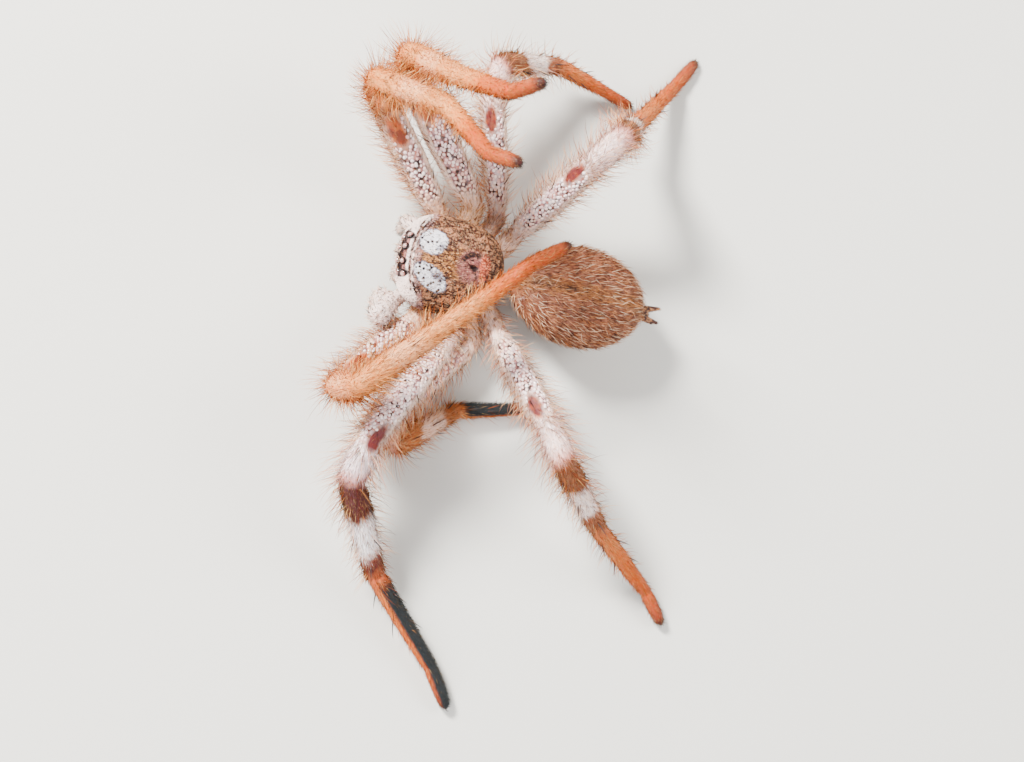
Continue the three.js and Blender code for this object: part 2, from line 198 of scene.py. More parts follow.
class Paint:
    """Adds nodes to one tree. A value is an output of another node, six hex digits or a plain number."""

    def __init__(self, tree):
        self.tree = tree

    def connect(self, socket, value):
        if isinstance(value, bpy.types.NodeSocket):
            self.tree.links.new(value, socket)
        else:
            socket.default_value = hue(value) if isinstance(value, str) else value

    def node(self, kind, inputs=(), **settings):
        node = self.tree.nodes.new("ShaderNode" + kind)
        for name, value in settings.items():
            setattr(node, name, value)
        for key, value in dict(inputs).items():
            self.connect(node.inputs[key], value)
        return node

    def math(self, operation, *values):
        return self.node("Math", enumerate(values), operation=operation).outputs[0]

    def minus(self, first, second):
        return self.math("SUBTRACT", first, second)

    def times(self, first, second):
        return self.math("MULTIPLY", first, second)

    def mix(self, share, first, second, blend="MIX"):
        inputs = {"Factor": share, 6: first, 7: second}
        return self.node("Mix", inputs, data_type="RGBA", blend_type=blend).outputs[2]

    def step(self, value, low, high):
        """0 below low, 1 above high, eased between them."""
        inputs = {"Value": value, "From Min": low, "From Max": high}
        return self.node("MapRange", inputs, interpolation_type="SMOOTHSTEP").outputs[0]

    def ramp(self, value, stops):
        node = self.node("ValToRGB", {"Fac": value})
        elements = node.color_ramp.elements
        elements.remove(elements[1])
        elements[0].position = stops[0][0]
        elements[0].color = hue(stops[0][1])
        for position, digits in stops[1:]:
            elements.new(position).color = hue(digits)
        return node.outputs["Color"]

    def read(self, name):
        return self.node("Attribute", attribute_name=name).outputs["Fac"]

    def own_place(self):
        return self.node("TexCoord").outputs["Object"]

    def noise(self, scale, detail=3, roughness=0.55, squeeze=None):
        """Noise on the object's own coordinates. Scale is in cycles to the metre, squeeze draws it out."""
        spot = self.own_place()
        if squeeze:
            spot = self.node("Mapping", {"Vector": spot, "Scale": squeeze}).outputs["Vector"]
        inputs = {"Vector": spot, "Scale": scale, "Detail": detail, "Roughness": roughness}
        return self.node("TexNoise", inputs).outputs["Fac"]

    def markings(self, group):
        """The colour of a group whose inputs are the piece's own values of the same names."""
        node = self.node("Group", node_tree=group)
        for socket in node.inputs:
            self.connect(socket, self.read(socket.name.lower()))
        return node.outputs["Color"]


def new_material(name, roughness, specular, colour, more=(), bump=None):
    """Colour is six hex digits or a function of its paint, bump the scale, detail and depth of a noise."""
    material = bpy.data.materials.new(name)
    material.use_nodes = True
    paint = Paint(material.node_tree)
    inputs = {"Roughness": roughness, "Specular IOR Level": specular, **dict(more)}
    inputs["Base Color"] = colour(paint) if callable(colour) else colour
    if bump:
        *grain, depth = bump
        inputs["Normal"] = paint.node("Bump", {
            "Height": paint.noise(*grain), "Distance": depth, "Strength": 1}).outputs["Normal"]
    shader = material.node_tree.nodes["Principled BSDF"]
    for key, value in inputs.items():
        paint.connect(shader.inputs[key], value)
    return material


# %% [markdown]
# The floor only stages the pictures and isn't part of the model.

# %% Floor
bm = bmesh.new()
bmesh.ops.create_grid(bm, x_segments=1, y_segments=1, size=3)
floor = add_mesh(bm, "floor")
floor.data.materials.append(new_material("floor_paint", 0.9, 0.1, "D9D8D2"))

# %% [markdown]
# The legs. Each has six segments: coxa, femur, patella, tibia, metatarsus and tarsus. Their lengths, the
# places where they leave the body and the two angles of each segment are the driving sizes. From them follow
# the joints, the direction of each segment and, at each joint, the plane that halves the bend. A frame of two
# directions across the limb is carried from segment to segment without twisting, so that the skin doesn't
# wring at the knees.

# %% Leg sizes and pose
LEG_LENGTHS = (
    (13.5, 4.4, 11.2, 10.5, 4.4),
    (15.3, 4.6, 11.4, 11.4, 4.6),
    (13.0, 3.6, 8.5, 7.2, 3.6),
    (13.0, 4.2, 10.0, 10.5, 4.0),
)
LEG_THICKNESS = (1.0, 1.02, 0.84, 0.92)
COXA_HEIGHT = 4.05
COXA_ROOTS = ((2.75, 0.1), (3.1, -1.9), (3.0, -3.9), (2.3, -5.8))
HIPS = ((5.6, 1.1, 4.6), (7.0, -2.5, 5.1), (6.7, -5.45, 3.5), (5.2, -7.4, 4.4))

# Turn from straight ahead to the left, and rise above level, of femur, patella, tibia, metatarsus and tarsus
STANCE = {
    "left": (
        ((52, 26), (169, 75), (-134, 2), (-133, 5), (-141, 8)),
        ((61, 19), (81, -16), (122, -30), (134, -9), (124, -7)),
        ((52, -2), (136, 38), (-139, -25), (-166, -5), (163, -7)),
        ((122, 30), (118, 23), (140, -36), (147, -30), (130, -9)),
    ),
    "right": (
        ((-45, 27), (-38, 62), (151, 54), (121, 51), (159, 48)),
        ((-47, 21), (-41, 68), (133, 64), (137, 66), (-164, 59)),
        ((-72, 21), (-92, 26), (-160, -33), (174, -27), (169, -18)),
        ((-124, 47), (-126, 28), (-130, -62), (-126, -36), (-120, -8)),
    ),
}

# Radius of the skin along a leg of thickness 1. The whole numbers are the joints, from the coxa's root.
SKIN_RADIUS = (
    (0, 0.75), (0.35, 0.96), (0.7, 1.03), (0.92, 0.98), (1, 0.86),
    (1.08, 1.05), (1.2, 1.32), (1.5, 1.55), (1.8, 1.46), (1.95, 1.34), (2, 1.24),
    (2.1, 1.32), (2.5, 1.42), (2.9, 1.26), (3, 1.12),
    (3.05, 1.2), (3.25, 1.27), (3.65, 1.08), (3.95, 0.98), (4, 0.86),
    (4.05, 0.92), (4.3, 0.88), (4.9, 0.72), (5, 0.64),
    (5.1, 0.68), (5.6, 0.66), (5.85, 0.55), (5.97, 0.32), (6, 0.12),
)


def heading(turn, rise):
    turn, rise = math.radians(turn), math.radians(rise)
    return Vector((math.sin(turn) * math.cos(rise), -math.cos(turn) * math.cos(rise), math.sin(rise)))


def lay_out(side_name, pair):
    side = 1 if side_name == "left" else -1
    root_out, root_ahead = COXA_ROOTS[pair]
    hip_out, hip_ahead, hip_up = HIPS[pair]
    joints = [place(side * root_out, root_ahead, COXA_HEIGHT), place(side * hip_out, hip_ahead, hip_up)]
    aims = [(joints[1] - joints[0]).normalized()]
    for length, angles in zip(LEG_LENGTHS[pair], STANCE[side_name][pair]):
        aims.append(heading(*angles))
        joints.append(joints[-1] + aims[-1] * length * MM)
    planes = [aims[0]] + [(a + b).normalized() for a, b in zip(aims, aims[1:])] + [aims[-1]]
    across = [aims[0].cross(Vector((0, 0, 1))).normalized()]
    for before, after in zip(aims, aims[1:]):
        across.append(before.rotation_difference(after) @ across[-1])
    over = [a.cross(b) for a, b in zip(across, aims)]
    tops = [(Vector((0, 0, 1)) - aim * aim.z).normalized() for aim in aims]
    return SimpleNamespace(
        name=f"leg_{side_name}_{pair + 1}", side=side, pair=pair, thickness=LEG_THICKNESS[pair],
        joints=np.array(joints), aims=np.array(aims), planes=np.array(planes),
        across=np.array(across), over=np.array(over), tops=np.array(tops),
        lengths=np.array([(b - a).length for a, b in zip(joints, joints[1:])]))


legs = [lay_out(side_name, pair) for side_name in ("left", "right") for pair in range(4)]
for leg in legs:
    print(leg.name, "tip at mm", (leg.joints[-1] / MM).round(1))

# %% [markdown]
# The skin of a leg is one tube from the coxa to the tip, so no seam shows where the solid pieces part. A
# point on it is told by its stage, which counts segments along the leg, and its angle round the limb. Near
# a joint the rings lean into the plane that halves the bend, and on the outside of the bend they are pulled
# back to one radius from the joint, which rounds the knee. The same function later says where hairs,
# granules and spines grow.

# %% Points on a leg
LAST_STAGE = 5.9999


def dot(a, b):
    return (a * b).sum(-1)


def unit(vectors):
    return vectors / np.maximum(np.linalg.norm(vectors, axis=-1, keepdims=True), 1e-12)


def part_of(stage):
    return np.minimum(stage, LAST_STAGE).astype(int)


def skin_radius(leg, stage):
    """In mm."""
    return np.interp(stage, *zip(*SKIN_RADIUS)) * leg.thickness


def outward_of(leg, part, angle):
    return np.cos(angle)[:, None] * leg.across[part] + np.sin(angle)[:, None] * leg.over[part]


def leg_points(leg, stage, angle):
    """Places and outward directions on one leg's skin, in metres."""
    stage = np.minimum(stage, LAST_STAGE)
    part = part_of(stage)
    share = stage - part
    along = leg.aims[part]
    outward = outward_of(leg, part, angle)
    radius = skin_radius(leg, stage) * MM
    length = leg.lengths[part]
    leans = [-dot(outward, plane) / dot(along, plane) for plane in (leg.planes[part], leg.planes[part + 1])]
    reach = share * length + radius * ((1 - share) * leans[0] + share * leans[1])
    spots = leg.joints[part] + along * reach[:, None] + outward * radius[:, None]
    for joint, past in ((leg.joints[part], -reach), (leg.joints[part + 1], reach - length)):
        spoke = unit(spots - joint)
        outside = (past > 0)[:, None]
        spots = np.where(outside, joint + spoke * radius[:, None], spots)
        outward = np.where(outside, spoke, outward)
    return spots, outward


# %% [markdown]
# A loft makes such a tube: a circle of vertices is extruded from ring to ring and each new ring is moved to
# its places. Every vertex remembers its ring and its place in the ring, so that values can be set on it
# later.

# %% Loft
def loft(name, rings):
    """A closed tube through rings of places, an array of (rings, sides, 3)."""
    bm = bmesh.new()
    ring_of = bm.verts.layers.int.new("ring")
    turn_of = bm.verts.layers.int.new("turn")
    verts = bmesh.ops.create_circle(bm, segments=rings.shape[1], radius=1)["verts"]
    edges = bm.edges[:]
    for number, vert in enumerate(verts):
        vert[turn_of] = number
    for number, ring in enumerate(rings):
        if number:
            made = bmesh.ops.extrude_edge_only(bm, edges=edges)["geom"]
            verts = [item for item in made if isinstance(item, bmesh.types.BMVert)]
            edges = [item for item in made if isinstance(item, bmesh.types.BMEdge) and item.is_boundary]
        for vert in verts:
            vert[ring_of] = number
            vert.co = ring[vert[turn_of]]
    bmesh.ops.holes_fill(bm, edges=[edge for edge in bm.edges if edge.is_boundary])
    return add_skin(bm, name)


def read_array(items, name, width=1, kind=np.float32):
    values = np.empty(len(items) * width, kind)
    items.foreach_get(name, values)
    return values.reshape(-1, width) if width > 1 else values


def set_value(piece, name, values):
    """Stores one number for each vertex, for a material or a coat to read."""
    attribute = piece.data.attributes.new(name, "FLOAT", "POINT")
    attribute.data.foreach_set("value", np.ascontiguousarray(values, np.float32))


def get_value(piece, name):
    return read_array(piece.data.attributes[name].data, "value")


# %% [markdown]
# Markings of a leg go by three values: the stage, how much a point looks to the top of the leg, and how
# much it looks to the front. The thighs are spotted all round but for two pale stripes along their edges and
# a bare brown patch before the knee. On the second left leg these markings reach a little past the knee's
# first joint. On the second and third left legs the feet are rolled, so that the dark pad under them shows.

# %% Leg skins
RING_STEP = 0.4              # mm between rings
FEWEST_RINGS = 8             # on a short segment
LEG_SIDES = 32
FLOOR_CLEARANCE = 0.03       # mm
KNEE_PATCH_STAGE = 1.82      # where on the thigh the bare patch lies


def leg_trait(usual, **others):
    """One number or tuple for each leg, given by side and pair where it isn't the usual one."""
    return {leg.name: others.get(leg.name[4:], usual) for leg in legs}


FOOT_ROLL = leg_trait(0, left_2=105, left_3=120)             # degrees
BANDED = leg_trait(0.12, left_2=1.0, left_3=0.5, left_4=0.8, right_3=0.8, right_4=0.8)
THIGH_END = leg_trait(2, left_2=2.3)                         # the stage where the thigh's markings end
STRIPE = leg_trait(-0.86, right_1=-0.76)                     # how far to the front, 1 is the most
PAD_EDGE = leg_trait(-0.6, left_2=0.3, left_3=0.5)           # how far up the side of the foot
# How much long hair grows on the front and on the back of a thigh
FRINGE = leg_trait((1.0, 0.7), right_1=(1.0, 0.05), right_2=(0.08, 0.45))
# How far to the front the bare patch lies, its half-width, and its half-length in stages
BARE_PATCH = leg_trait((0.42, 0.5, 0.125), left_2=(-0.35, 0.6, 0.17), right_1=(0.3, 0.62, 0.16))


def between(values, low, high, soft):
    """1 inside the range, easing to 0 over a soft edge."""
    return np.clip((values - low) / soft + 0.5, 0, 1) * np.clip((high - values) / soft + 0.5, 0, 1)


def dip(distance, width):
    return np.exp(-(distance / width) ** 2)


def top_direction(leg, part):
    top = leg.tops[part]
    roll = math.radians(FOOT_ROLL[leg.name])
    sideways = unit(np.cross(leg.aims[part], (0, 0, 1)))
    rolled = top * math.cos(roll) + sideways * math.sin(roll)
    return np.where((part >= 4)[:, None], rolled, top)


def leg_values(leg, stage, angle):
    """The named values that markings and coat are worked out from."""
    part = part_of(stage)
    knee = THIGH_END[leg.name]
    stage = np.interp(stage, (0, 1, knee, knee + 0.5, 6), (0, 1, 2, knee + 0.5, 6))
    outward = outward_of(leg, part, angle)
    top = top_direction(leg, part)
    dorsal = dot(outward, top)
    facing = dot(outward, np.cross(leg.aims[part], top)) * leg.side
    stripe = dip(facing - STRIPE[leg.name], 0.17) + between(facing, 0.84, 2, 0.1)
    spotted = between(stage, 1.13, 1.9, 0.06) * np.clip(1 - 1.6 * stripe, 0, 1)
    middle, half_width, half_length = BARE_PATCH[leg.name]
    oval = np.hypot((stage - KNEE_PATCH_STAGE) / half_length, (facing - middle) / half_width)
    bare = between(oval, -1, 1, 0.45) * between(dorsal, 0, 2, 0.2)
    return {
        "stage": stage, "dorsal": dorsal, "facing": facing, "spotted": spotted * (1 - bare), "bare": bare,
        "pad": between(stage, 4.08, 7, 0.1) * between(dorsal, -2, PAD_EDGE[leg.name], 0.3),
        "fringe": np.where(facing > 0, *FRINGE[leg.name]),
        "banded": np.full(len(stage), BANDED[leg.name]),
        "around": (angle / math.tau) % 1, "down": stage / 6,
    }


def leg_skin(leg):
    stages = [0.0]
    for part, length in enumerate(leg.lengths):
        count = max(FEWEST_RINGS, round(length / MM / RING_STEP))
        stages += [part + (step + 1) / count for step in range(count)]
    angles = np.arange(LEG_SIDES) / LEG_SIDES * math.tau
    grid_stage, grid_angle = (grid.ravel() for grid in np.meshgrid(stages, angles, indexing="ij"))
    spots, _ = leg_points(leg, grid_stage, grid_angle)
    spots[:, 2] = np.maximum(spots[:, 2], FLOOR_CLEARANCE * MM)
    skin = loft(leg.name + "_skin", spots.reshape(len(stages), LEG_SIDES, 3))
    ring = read_array(skin.data.attributes["ring"].data, "value", kind=np.int32)
    turn = read_array(skin.data.attributes["turn"].data, "value", kind=np.int32)
    for name, values in leg_values(leg, np.array(stages)[ring], angles[turn]).items():
        set_value(skin, name, values)
    return skin


leg_skins = {leg.name: leg_skin(leg) for leg in legs}
print("skin of a leg:", len(leg_skins["leg_left_1"].data.polygons), "faces")

# %% [markdown]
# The body's forms start from a round ball of fine triangles. Each point of the ball is a direction, and a
# function turns directions into places on the form. The carapace is a low dome: squarish in plan, raised over
# the head, with a pit at its middle, faint grooves that run out from the pit and a V that marks off the head.

# %% Carapace form
CARAPACE_HALF_WIDTH = 5.15
CARAPACE_UNDER = 6.05
CARAPACE_RIM = 6.4
CARAPACE_TOP = 9.3
PLAN_SQUARENESS = 2.5
PROFILE_FULLNESS = 0.62
RIM_ROUNDNESS = 2.5
COAT_DEPTH = 0.13            # mm that the skin lies inside the solid
PIT_OUT, PIT_AHEAD = 0.06, -3.05
PIT_DEPTH = 0.42
GROOVES = (38, 72, 108, 146)    # bearings from the pit in degrees, the same on both sides
GROOVE_DEPTH = 0.11
HEAD_RISE = 0.14


def from_pit(out, ahead):
    """Distance in mm from the pit, and bearing in degrees from straight ahead towards the left."""
    out, ahead = out - PIT_OUT, ahead - PIT_AHEAD
    return np.hypot(out, ahead), np.degrees(np.arctan2(out, ahead))


def carapace_form(directions):
    out, ahead, up = directions.T
    turn = np.arctan2(ahead, out)
    corner = (np.abs(np.cos(turn)) ** PLAN_SQUARENESS + np.abs(np.sin(turn)) ** PLAN_SQUARENESS) ** (
        -1 / PLAN_SQUARENESS)
    plan_out = out * corner * (CARAPACE_HALF_WIDTH - COAT_DEPTH)
    plan_ahead = ahead * corner * (np.where(ahead > 0, CARAPACE_AHEAD, CARAPACE_BEHIND) - COAT_DEPTH)
    top = CARAPACE_RIM + (CARAPACE_TOP - COAT_DEPTH - CARAPACE_RIM) * np.maximum(up, 0) ** PROFILE_FULLNESS
    under = CARAPACE_RIM + (CARAPACE_RIM - CARAPACE_UNDER) * np.maximum(up * RIM_ROUNDNESS, -1)
    reach, bearing = from_pit(plan_out, plan_ahead)
    relief = -PIT_DEPTH * dip(plan_out - PIT_OUT, 0.3) * dip(plan_ahead - PIT_AHEAD, 0.6)
    relief += 0.1 * dip(reach - 1.15, 0.45)
    for groove in GROOVES:
        for side in (1, -1):
            sideways = np.radians(bearing - side * groove) * reach
            relief -= GROOVE_DEPTH * dip(sideways, 0.3) * between(reach, 0.9, 4.6, 1.2)
    relief += HEAD_RISE * dip(plan_out, 2.4) * dip(plan_ahead - 2.3, 2.2)
    height = np.where(up > 0, top + relief * np.clip(up * 2.2, 0, 1), under)
    return np.stack([plan_out, plan_ahead, height], 1)


def unwrap_ball(skin, directions):
    """The upper and the lower half side by side, each flattened about its pole."""
    out, ahead, up = directions.T
    spread = np.arccos(np.clip(np.abs(up), 0, 1)) / (math.pi / 2) / np.maximum(np.hypot(out, ahead), 1e-9)
    set_value(skin, "around", 0.25 + 0.24 * out * spread + np.where(up < 0, 0.5, 0))
    set_value(skin, "down", 0.5 + 0.48 * ahead * spread)


def ball_skin(name, form, fineness):
    """A ball whose points are sent through a form, unwrapped by their directions on the ball."""
    bm = bmesh.new()
    bmesh.ops.create_icosphere(bm, subdivisions=fineness, radius=1)
    directions = unit(np.array([vert.co[:] for vert in bm.verts]))
    for vert, spot in zip(bm.verts, places(form(directions))):
        vert.co = spot
    skin = add_skin(bm, name)
    unwrap_ball(skin, directions)
    return skin


carapace = ball_skin("carapace_skin", carapace_form, 6)
print("carapace:", len(carapace.data.polygons), "faces")

# %% [markdown]
# The abdomen is an egg, a little flatter below, narrower behind, with faint folds.

# %% Abdomen form
ABDOMEN_LENGTH = 14.4
ABDOMEN_HALF_WIDTH = 5.3
ABDOMEN_HALF_HEIGHT = 4.1
ABDOMEN_HEIGHT = 6.0
WAIST_GAP = 1.0              # mm from the carapace to the abdomen
ABDOMEN_FRONT = CARAPACE_BEHIND + WAIST_GAP
ABDOMEN_MIDDLE = ABDOMEN_FRONT + ABDOMEN_LENGTH / 2
FOLD_DEPTH = 0.05


def abdomen_form(directions):
    out, ahead, up = directions.T
    fullness = 1 - 0.06 * ahead - 0.07 * ahead ** 2
    folds = FOLD_DEPTH * np.sin(ahead * 26) * between(-ahead, -0.2, 0.9, 0.4)
    half_width = (ABDOMEN_HALF_WIDTH - COAT_DEPTH) * fullness + folds
    half_height = (ABDOMEN_HALF_HEIGHT - COAT_DEPTH) * np.where(up > 0, fullness, 0.97 * fullness) + folds
    return np.stack([
        out * half_width,
        -ABDOMEN_MIDDLE + ahead * (ABDOMEN_LENGTH / 2 - COAT_DEPTH),
        ABDOMEN_HEIGHT + up * half_height,
    ], 1)


abdomen = ball_skin("abdomen_skin", abdomen_form, 5)
print("abdomen:", len(abdomen.data.polygons), "faces")

# %% [markdown]
# A short waist joins the abdomen to the front body. The waist, the breastplate, the jaws, the palps and the
# spinnerets have no simple formula: each is a chain of balls, melted into one smooth form by a voxel remesh.

# %% Melted forms
BALL_STEP = 0.18             # mm from one ball of a chain to the next


def melt(name, chains, voxel=0.11, smoothing=4):
    """Chains of balls, each knot an (out, ahead, up, radius), as one smooth closed skin."""
    bm = bmesh.new()
    for chain in chains:
        for start, end in zip(chain, chain[1:]):
            start, end = np.array(start), np.array(end)
            steps = max(1, round(float(np.linalg.norm(end[:3] - start[:3])) / BALL_STEP))
            for share in np.linspace(0, 1, steps + 1):
                out, ahead, up, radius = start + (end - start) * share
                bmesh.ops.create_icosphere(
                    bm, subdivisions=3, radius=radius * MM, matrix=Matrix.Translation(place(out, ahead, up)))
    skin = add_mesh(bm, name)
    remesh = skin.modifiers.new("melt", "REMESH")
    remesh.mode = "VOXEL"
    remesh.voxel_size = voxel * MM
    remesh.use_smooth_shade = True
    skin.modifiers.new("smooth", "SMOOTH").iterations = smoothing
    settled = bpy.data.meshes.new_from_object(skin.evaluated_get(bpy.context.evaluated_depsgraph_get()))
    settled.name = name
    skin.modifiers.clear()
    skin.data = settled
    spots = read_array(settled.vertices, "co", 3)
    spots[:, 2] = np.maximum(spots[:, 2], FLOOR_CLEARANCE * MM)
    settled.vertices.foreach_set("co", spots.ravel())
    unwrap_ball(skin, unit(spots - spots.mean(0)) * (1, -1, 1))
    return skin


def mirrored(chain):
    return [(-out, ahead, up, radius) for out, ahead, up, radius in chain]


BREASTPLATE = [
    [(0, 0.2, 4.1, 1.3), (0, -1.6, 4.2, 1.55), (0, -3.6, 4.2, 1.5), (0, -5.0, 4.4, 1.2)],
    [(-1.2, -1.0, 4.4, 1.6), (-1.2, -3.8, 4.4, 1.6), (1.2, -3.8, 4.4, 1.6), (1.2, -1.0, 4.4, 1.6),
     (-1.2, -1.0, 4.4, 1.6)],
    [(-2.6, 0.6, 4.9, 1.1), (-2.9, -3.6, 4.8, 1.2)],
    [(2.6, 0.6, 4.9, 1.1), (2.9, -3.6, 4.8, 1.2)],
    [(0, 1.2, 3.5, 0.55), (0, 0.4, 3.5, 0.8)],
    [(0, -5.2, 5.2, 0.9), (0, -6.6, 5.8, 0.5), (0, -8.2, 6.0, 0.6)],
]
MOUTH_LOBE = [(0.95, 1.9, 3.6, 0.5), (1.3, 0.6, 3.8, 0.75)]
LEFT_JAW = [(1.32, 3.0, 5.5, 0.8), (1.32, 3.2, 4.8, 0.98), (1.32, 3.4, 3.6, 1.0), (1.32, 3.4, 2.5, 0.86),
            (1.32, 3.3, 2.1, 0.66)]
JAWS = {"left": LEFT_JAW, "right": mirrored(LEFT_JAW)}
PALPS = {
    "left": [(2.6, 2.0, 4.2, 0.55), (3.4, 2.8, 4.2, 0.6), (4.6, 4.1, 5.2, 0.92), (6.6, 5.45, 7.6, 1.2),
             (4.6, 5.1, 4.8, 1.1), (4.1, 4.6, 0.55, 0.48)],
    "right": [(-2.6, 2.0, 4.2, 0.55), (-3.4, 2.8, 3.9, 0.55), (-4.1, 3.2, 3.6, 0.74), (-4.4, 3.6, 2.4, 0.76),
              (-4.0, 3.9, 0.55, 0.46)],
}
breastplate = melt("breastplate_skin", BREASTPLATE + [MOUTH_LOBE, mirrored(MOUTH_LOBE)])
jaws = {side_name: melt(f"chelicera_{side_name}_skin", [chain]) for side_name, chain in JAWS.items()}
palps = {side_name: melt(f"palp_{side_name}_skin", [chain]) for side_name, chain in PALPS.items()}

ABDOMEN_END = -ABDOMEN_FRONT - ABDOMEN_LENGTH
SPINNERET_HEIGHT = 5.4
SPINNERET_SIZES = ((0.5, 0.2, 1.3, 0.34), (0.45, -0.45, 1.0, 0.32))    # out, up, length and radius
spinneret_chains = [[(0, ABDOMEN_END + 0.9, 5.3, 0.75), (0, ABDOMEN_END - 0.35, SPINNERET_HEIGHT, 0.6)]]
for side in (1, -1):
    for out, up, length, radius in SPINNERET_SIZES:
        spinneret_chains.append([
            (side * out, ABDOMEN_END - 0.5, SPINNERET_HEIGHT + up, radius),
            (side * (out + 0.25), ABDOMEN_END - 0.5 - length, SPINNERET_HEIGHT + up * 1.4, radius * 0.55),
        ])
spinnerets = melt("spinnerets_skin", spinneret_chains, voxel=0.07, smoothing=2)
melted = (breastplate, *jaws.values(), *palps.values(), spinnerets)
print("melted forms:", sum(len(piece.data.polygons) for piece in melted), "faces")

# %% [markdown]
# Eight eyes sit in two rows on the front of the carapace. Each is a clear dome in a raised ring of dark skin,
# dark behind and pale pinkish brown at its front, partly its own colour and partly a painted reflection. Its
# place and size come from its solid, and it looks away from the middle of the head. The ring is a small
# circle spun about the eye's own axis.

# %% Eyes
EYE_NAMES = [f"eye_{row}_{side_name}" for row in ("front_middle", "front_side", "rear_middle", "rear_side")
             for side_name in ("left", "right")]
HEAD_MIDDLE = place(0, 1.2, 6.2)
LENS_RADIUS = 0.97           # this and the next two are shares of the solid's radius
RING_HEIGHT = 0.2
RING_THICKNESS = 0.17


def eye_frame(node):
    low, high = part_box(node)
    centre = (low + high) / 2
    return centre, (high.z - low.z) / 2, (centre - HEAD_MIDDLE).normalized()


def eye_lens(node):
    centre, radius, facing = eye_frame(node)
    bm = bmesh.new()
    turn = facing.to_track_quat("Z", "Y").to_matrix().to_4x4()
    bmesh.ops.create_uvsphere(bm, u_segments=28, v_segments=18, radius=radius * LENS_RADIUS,
                              matrix=Matrix.Translation(centre) @ turn)
    lens = add_skin(bm, node + "_lens")
    offsets = read_array(lens.data.vertices, "co", 3) - np.array(centre)
    # How far along its axis a point lies: the lens colour follows it, pale at the front as a painted
    # reflection
    set_value(lens, "dome", offsets @ np.array(facing) / radius)
    return lens


def eye_rings(row):
    bm = bmesh.new()
    for node in EYE_NAMES:
        if row not in node:
            continue
        centre, radius, facing = eye_frame(node)
        sideways = facing.orthogonal().normalized()
        rim_centre = centre + facing * radius * RING_HEIGHT + sideways * radius
        stand = Matrix.Translation(rim_centre) @ Matrix(
            (facing, sideways, facing.cross(sideways))).transposed().to_4x4()
        ring = bmesh.ops.create_circle(bm, segments=8, radius=radius * RING_THICKNESS, matrix=stand)["verts"]
        edges = list({edge for vert in ring for edge in vert.link_edges})
        bmesh.ops.spin(bm, geom=ring + edges, cent=centre, axis=facing, angle=math.tau, steps=30,
                       use_merge=True)
    return add_skin(bm, row + "_eye_rings")


lenses = {node: eye_lens(node) for node in EYE_NAMES}
rear_rings = eye_rings("rear")
front_rings = eye_rings("front")
print("eyes:", len(lenses))

# %% [markdown]
# The fangs fold in under the jaws. Each is a curved, tapering tube, lofted through rings round six knots.
# At the end of each foot two small claws stand on either side of a tuft of hair.

# %% Fangs and claws
FANG_KNOTS = ((1.45, 3.2, 1.35, 0.3), (1.4, 3.0, 1.08, 0.31), (1.2, 2.6, 0.92, 0.27), (0.85, 2.1, 0.85, 0.19),
              (0.62, 1.85, 0.85, 0.11), (0.5, 1.75, 0.86, 0.03))
FANG_RINGS = 22
CLAW_LENGTH = 0.55           # mm, like the next three
CLAW_RADIUS = 0.055
CLAW_OUT = 0.1
CLAW_CLEARANCE = 0.08


def tube_rings(centres, radii, sides=12):
    """Rings round a path of places, for a loft."""
    tangents = unit(np.gradient(centres, axis=0))
    start = unit(np.cross(tangents[0], (0.3, 0.2, 1)))
    angles = (np.arange(sides) / sides * math.tau)[:, None]
    rings = []
    for centre, tangent, radius in zip(centres, tangents, radii):
        start = unit(start - tangent * dot(start, tangent))
        rings.append(centre + radius * (np.cos(angles) * start + np.sin(angles) * np.cross(tangent, start)))
    return np.array(rings)


def fang(side_name, side):
    knots = np.array(FANG_KNOTS) * (side, 1, 1, 1)
    shares = np.linspace(0, len(knots) - 1, FANG_RINGS)
    fine = np.stack([np.interp(shares, range(len(knots)), column) for column in knots.T], 1)
    return loft(f"fang_{side_name}_gloss", tube_rings(places(fine[:, :3]), fine[:, 3] * MM))


def claws_of(leg):
    """Two hooks at the tip, curving down, as one piece."""
    along = leg.aims[5]
    top = top_direction(leg, np.array([5]))[0]
    sideways = np.cross(top, along) * CLAW_OUT
    shares = np.linspace(0, 1, 7)[:, None]
    hooked = along * (CLAW_LENGTH * np.sin(shares * 1.3) - 0.2) + top * (
        0.12 * np.sin(shares * 3) - 0.22 * shares ** 2)
    bm = bmesh.new()
    for side in (1, -1):
        path = leg.joints[6] + MM * (hooked + side * sideways * (1 + shares))
        path[:, 2] = np.maximum(path[:, 2], CLAW_CLEARANCE * MM)
        hook = loft("hook", tube_rings(path, CLAW_RADIUS * MM * (1.05 - shares[:, 0]), 6))
        bm.from_mesh(hook.data)
        bpy.data.meshes.remove(hook.data)
    return add_skin(bm, leg.name + "_claws")


fangs = {side_name: fang(side_name, side) for side_name, side in (("left", 1), ("right", -1))}
claws = {leg.name: claws_of(leg) for leg in legs}
print("claws on", len(claws), "feet")

# %% [markdown]
# The coat. Each hair is a bent, tapered, three-sided mesh with its root in the skin. A real coat has several
# kinds: flat down, longer fur, single long hairs and spines, so each kind is grown on its own, with its own
# length, lift and bend. Roots are spread evenly and thinned by a weight, which says where the kind grows.
# The hairs of one coat are joined in one mesh from arrays, which is far quicker than thousands of objects.

# %% Growing hairs
SUNK = 0.06                  # mm of each hair inside the skin
HAIR_FLOOR = 0.02            # mm above the floor that no hair goes below
TAPER = 0.6                  # 1 would be a straight cone
PATCH = 0.003                # width of a hair's place in the OFBake map


def jitter(vectors, amount):
    return unit(vectors + rng.normal(0, amount, vectors.shape))


def span(count, low, high, skew=1):
    """Random numbers from low to high. A skew over 1 makes more of them low."""
    return low + (high - low) * rng.random(count) ** skew


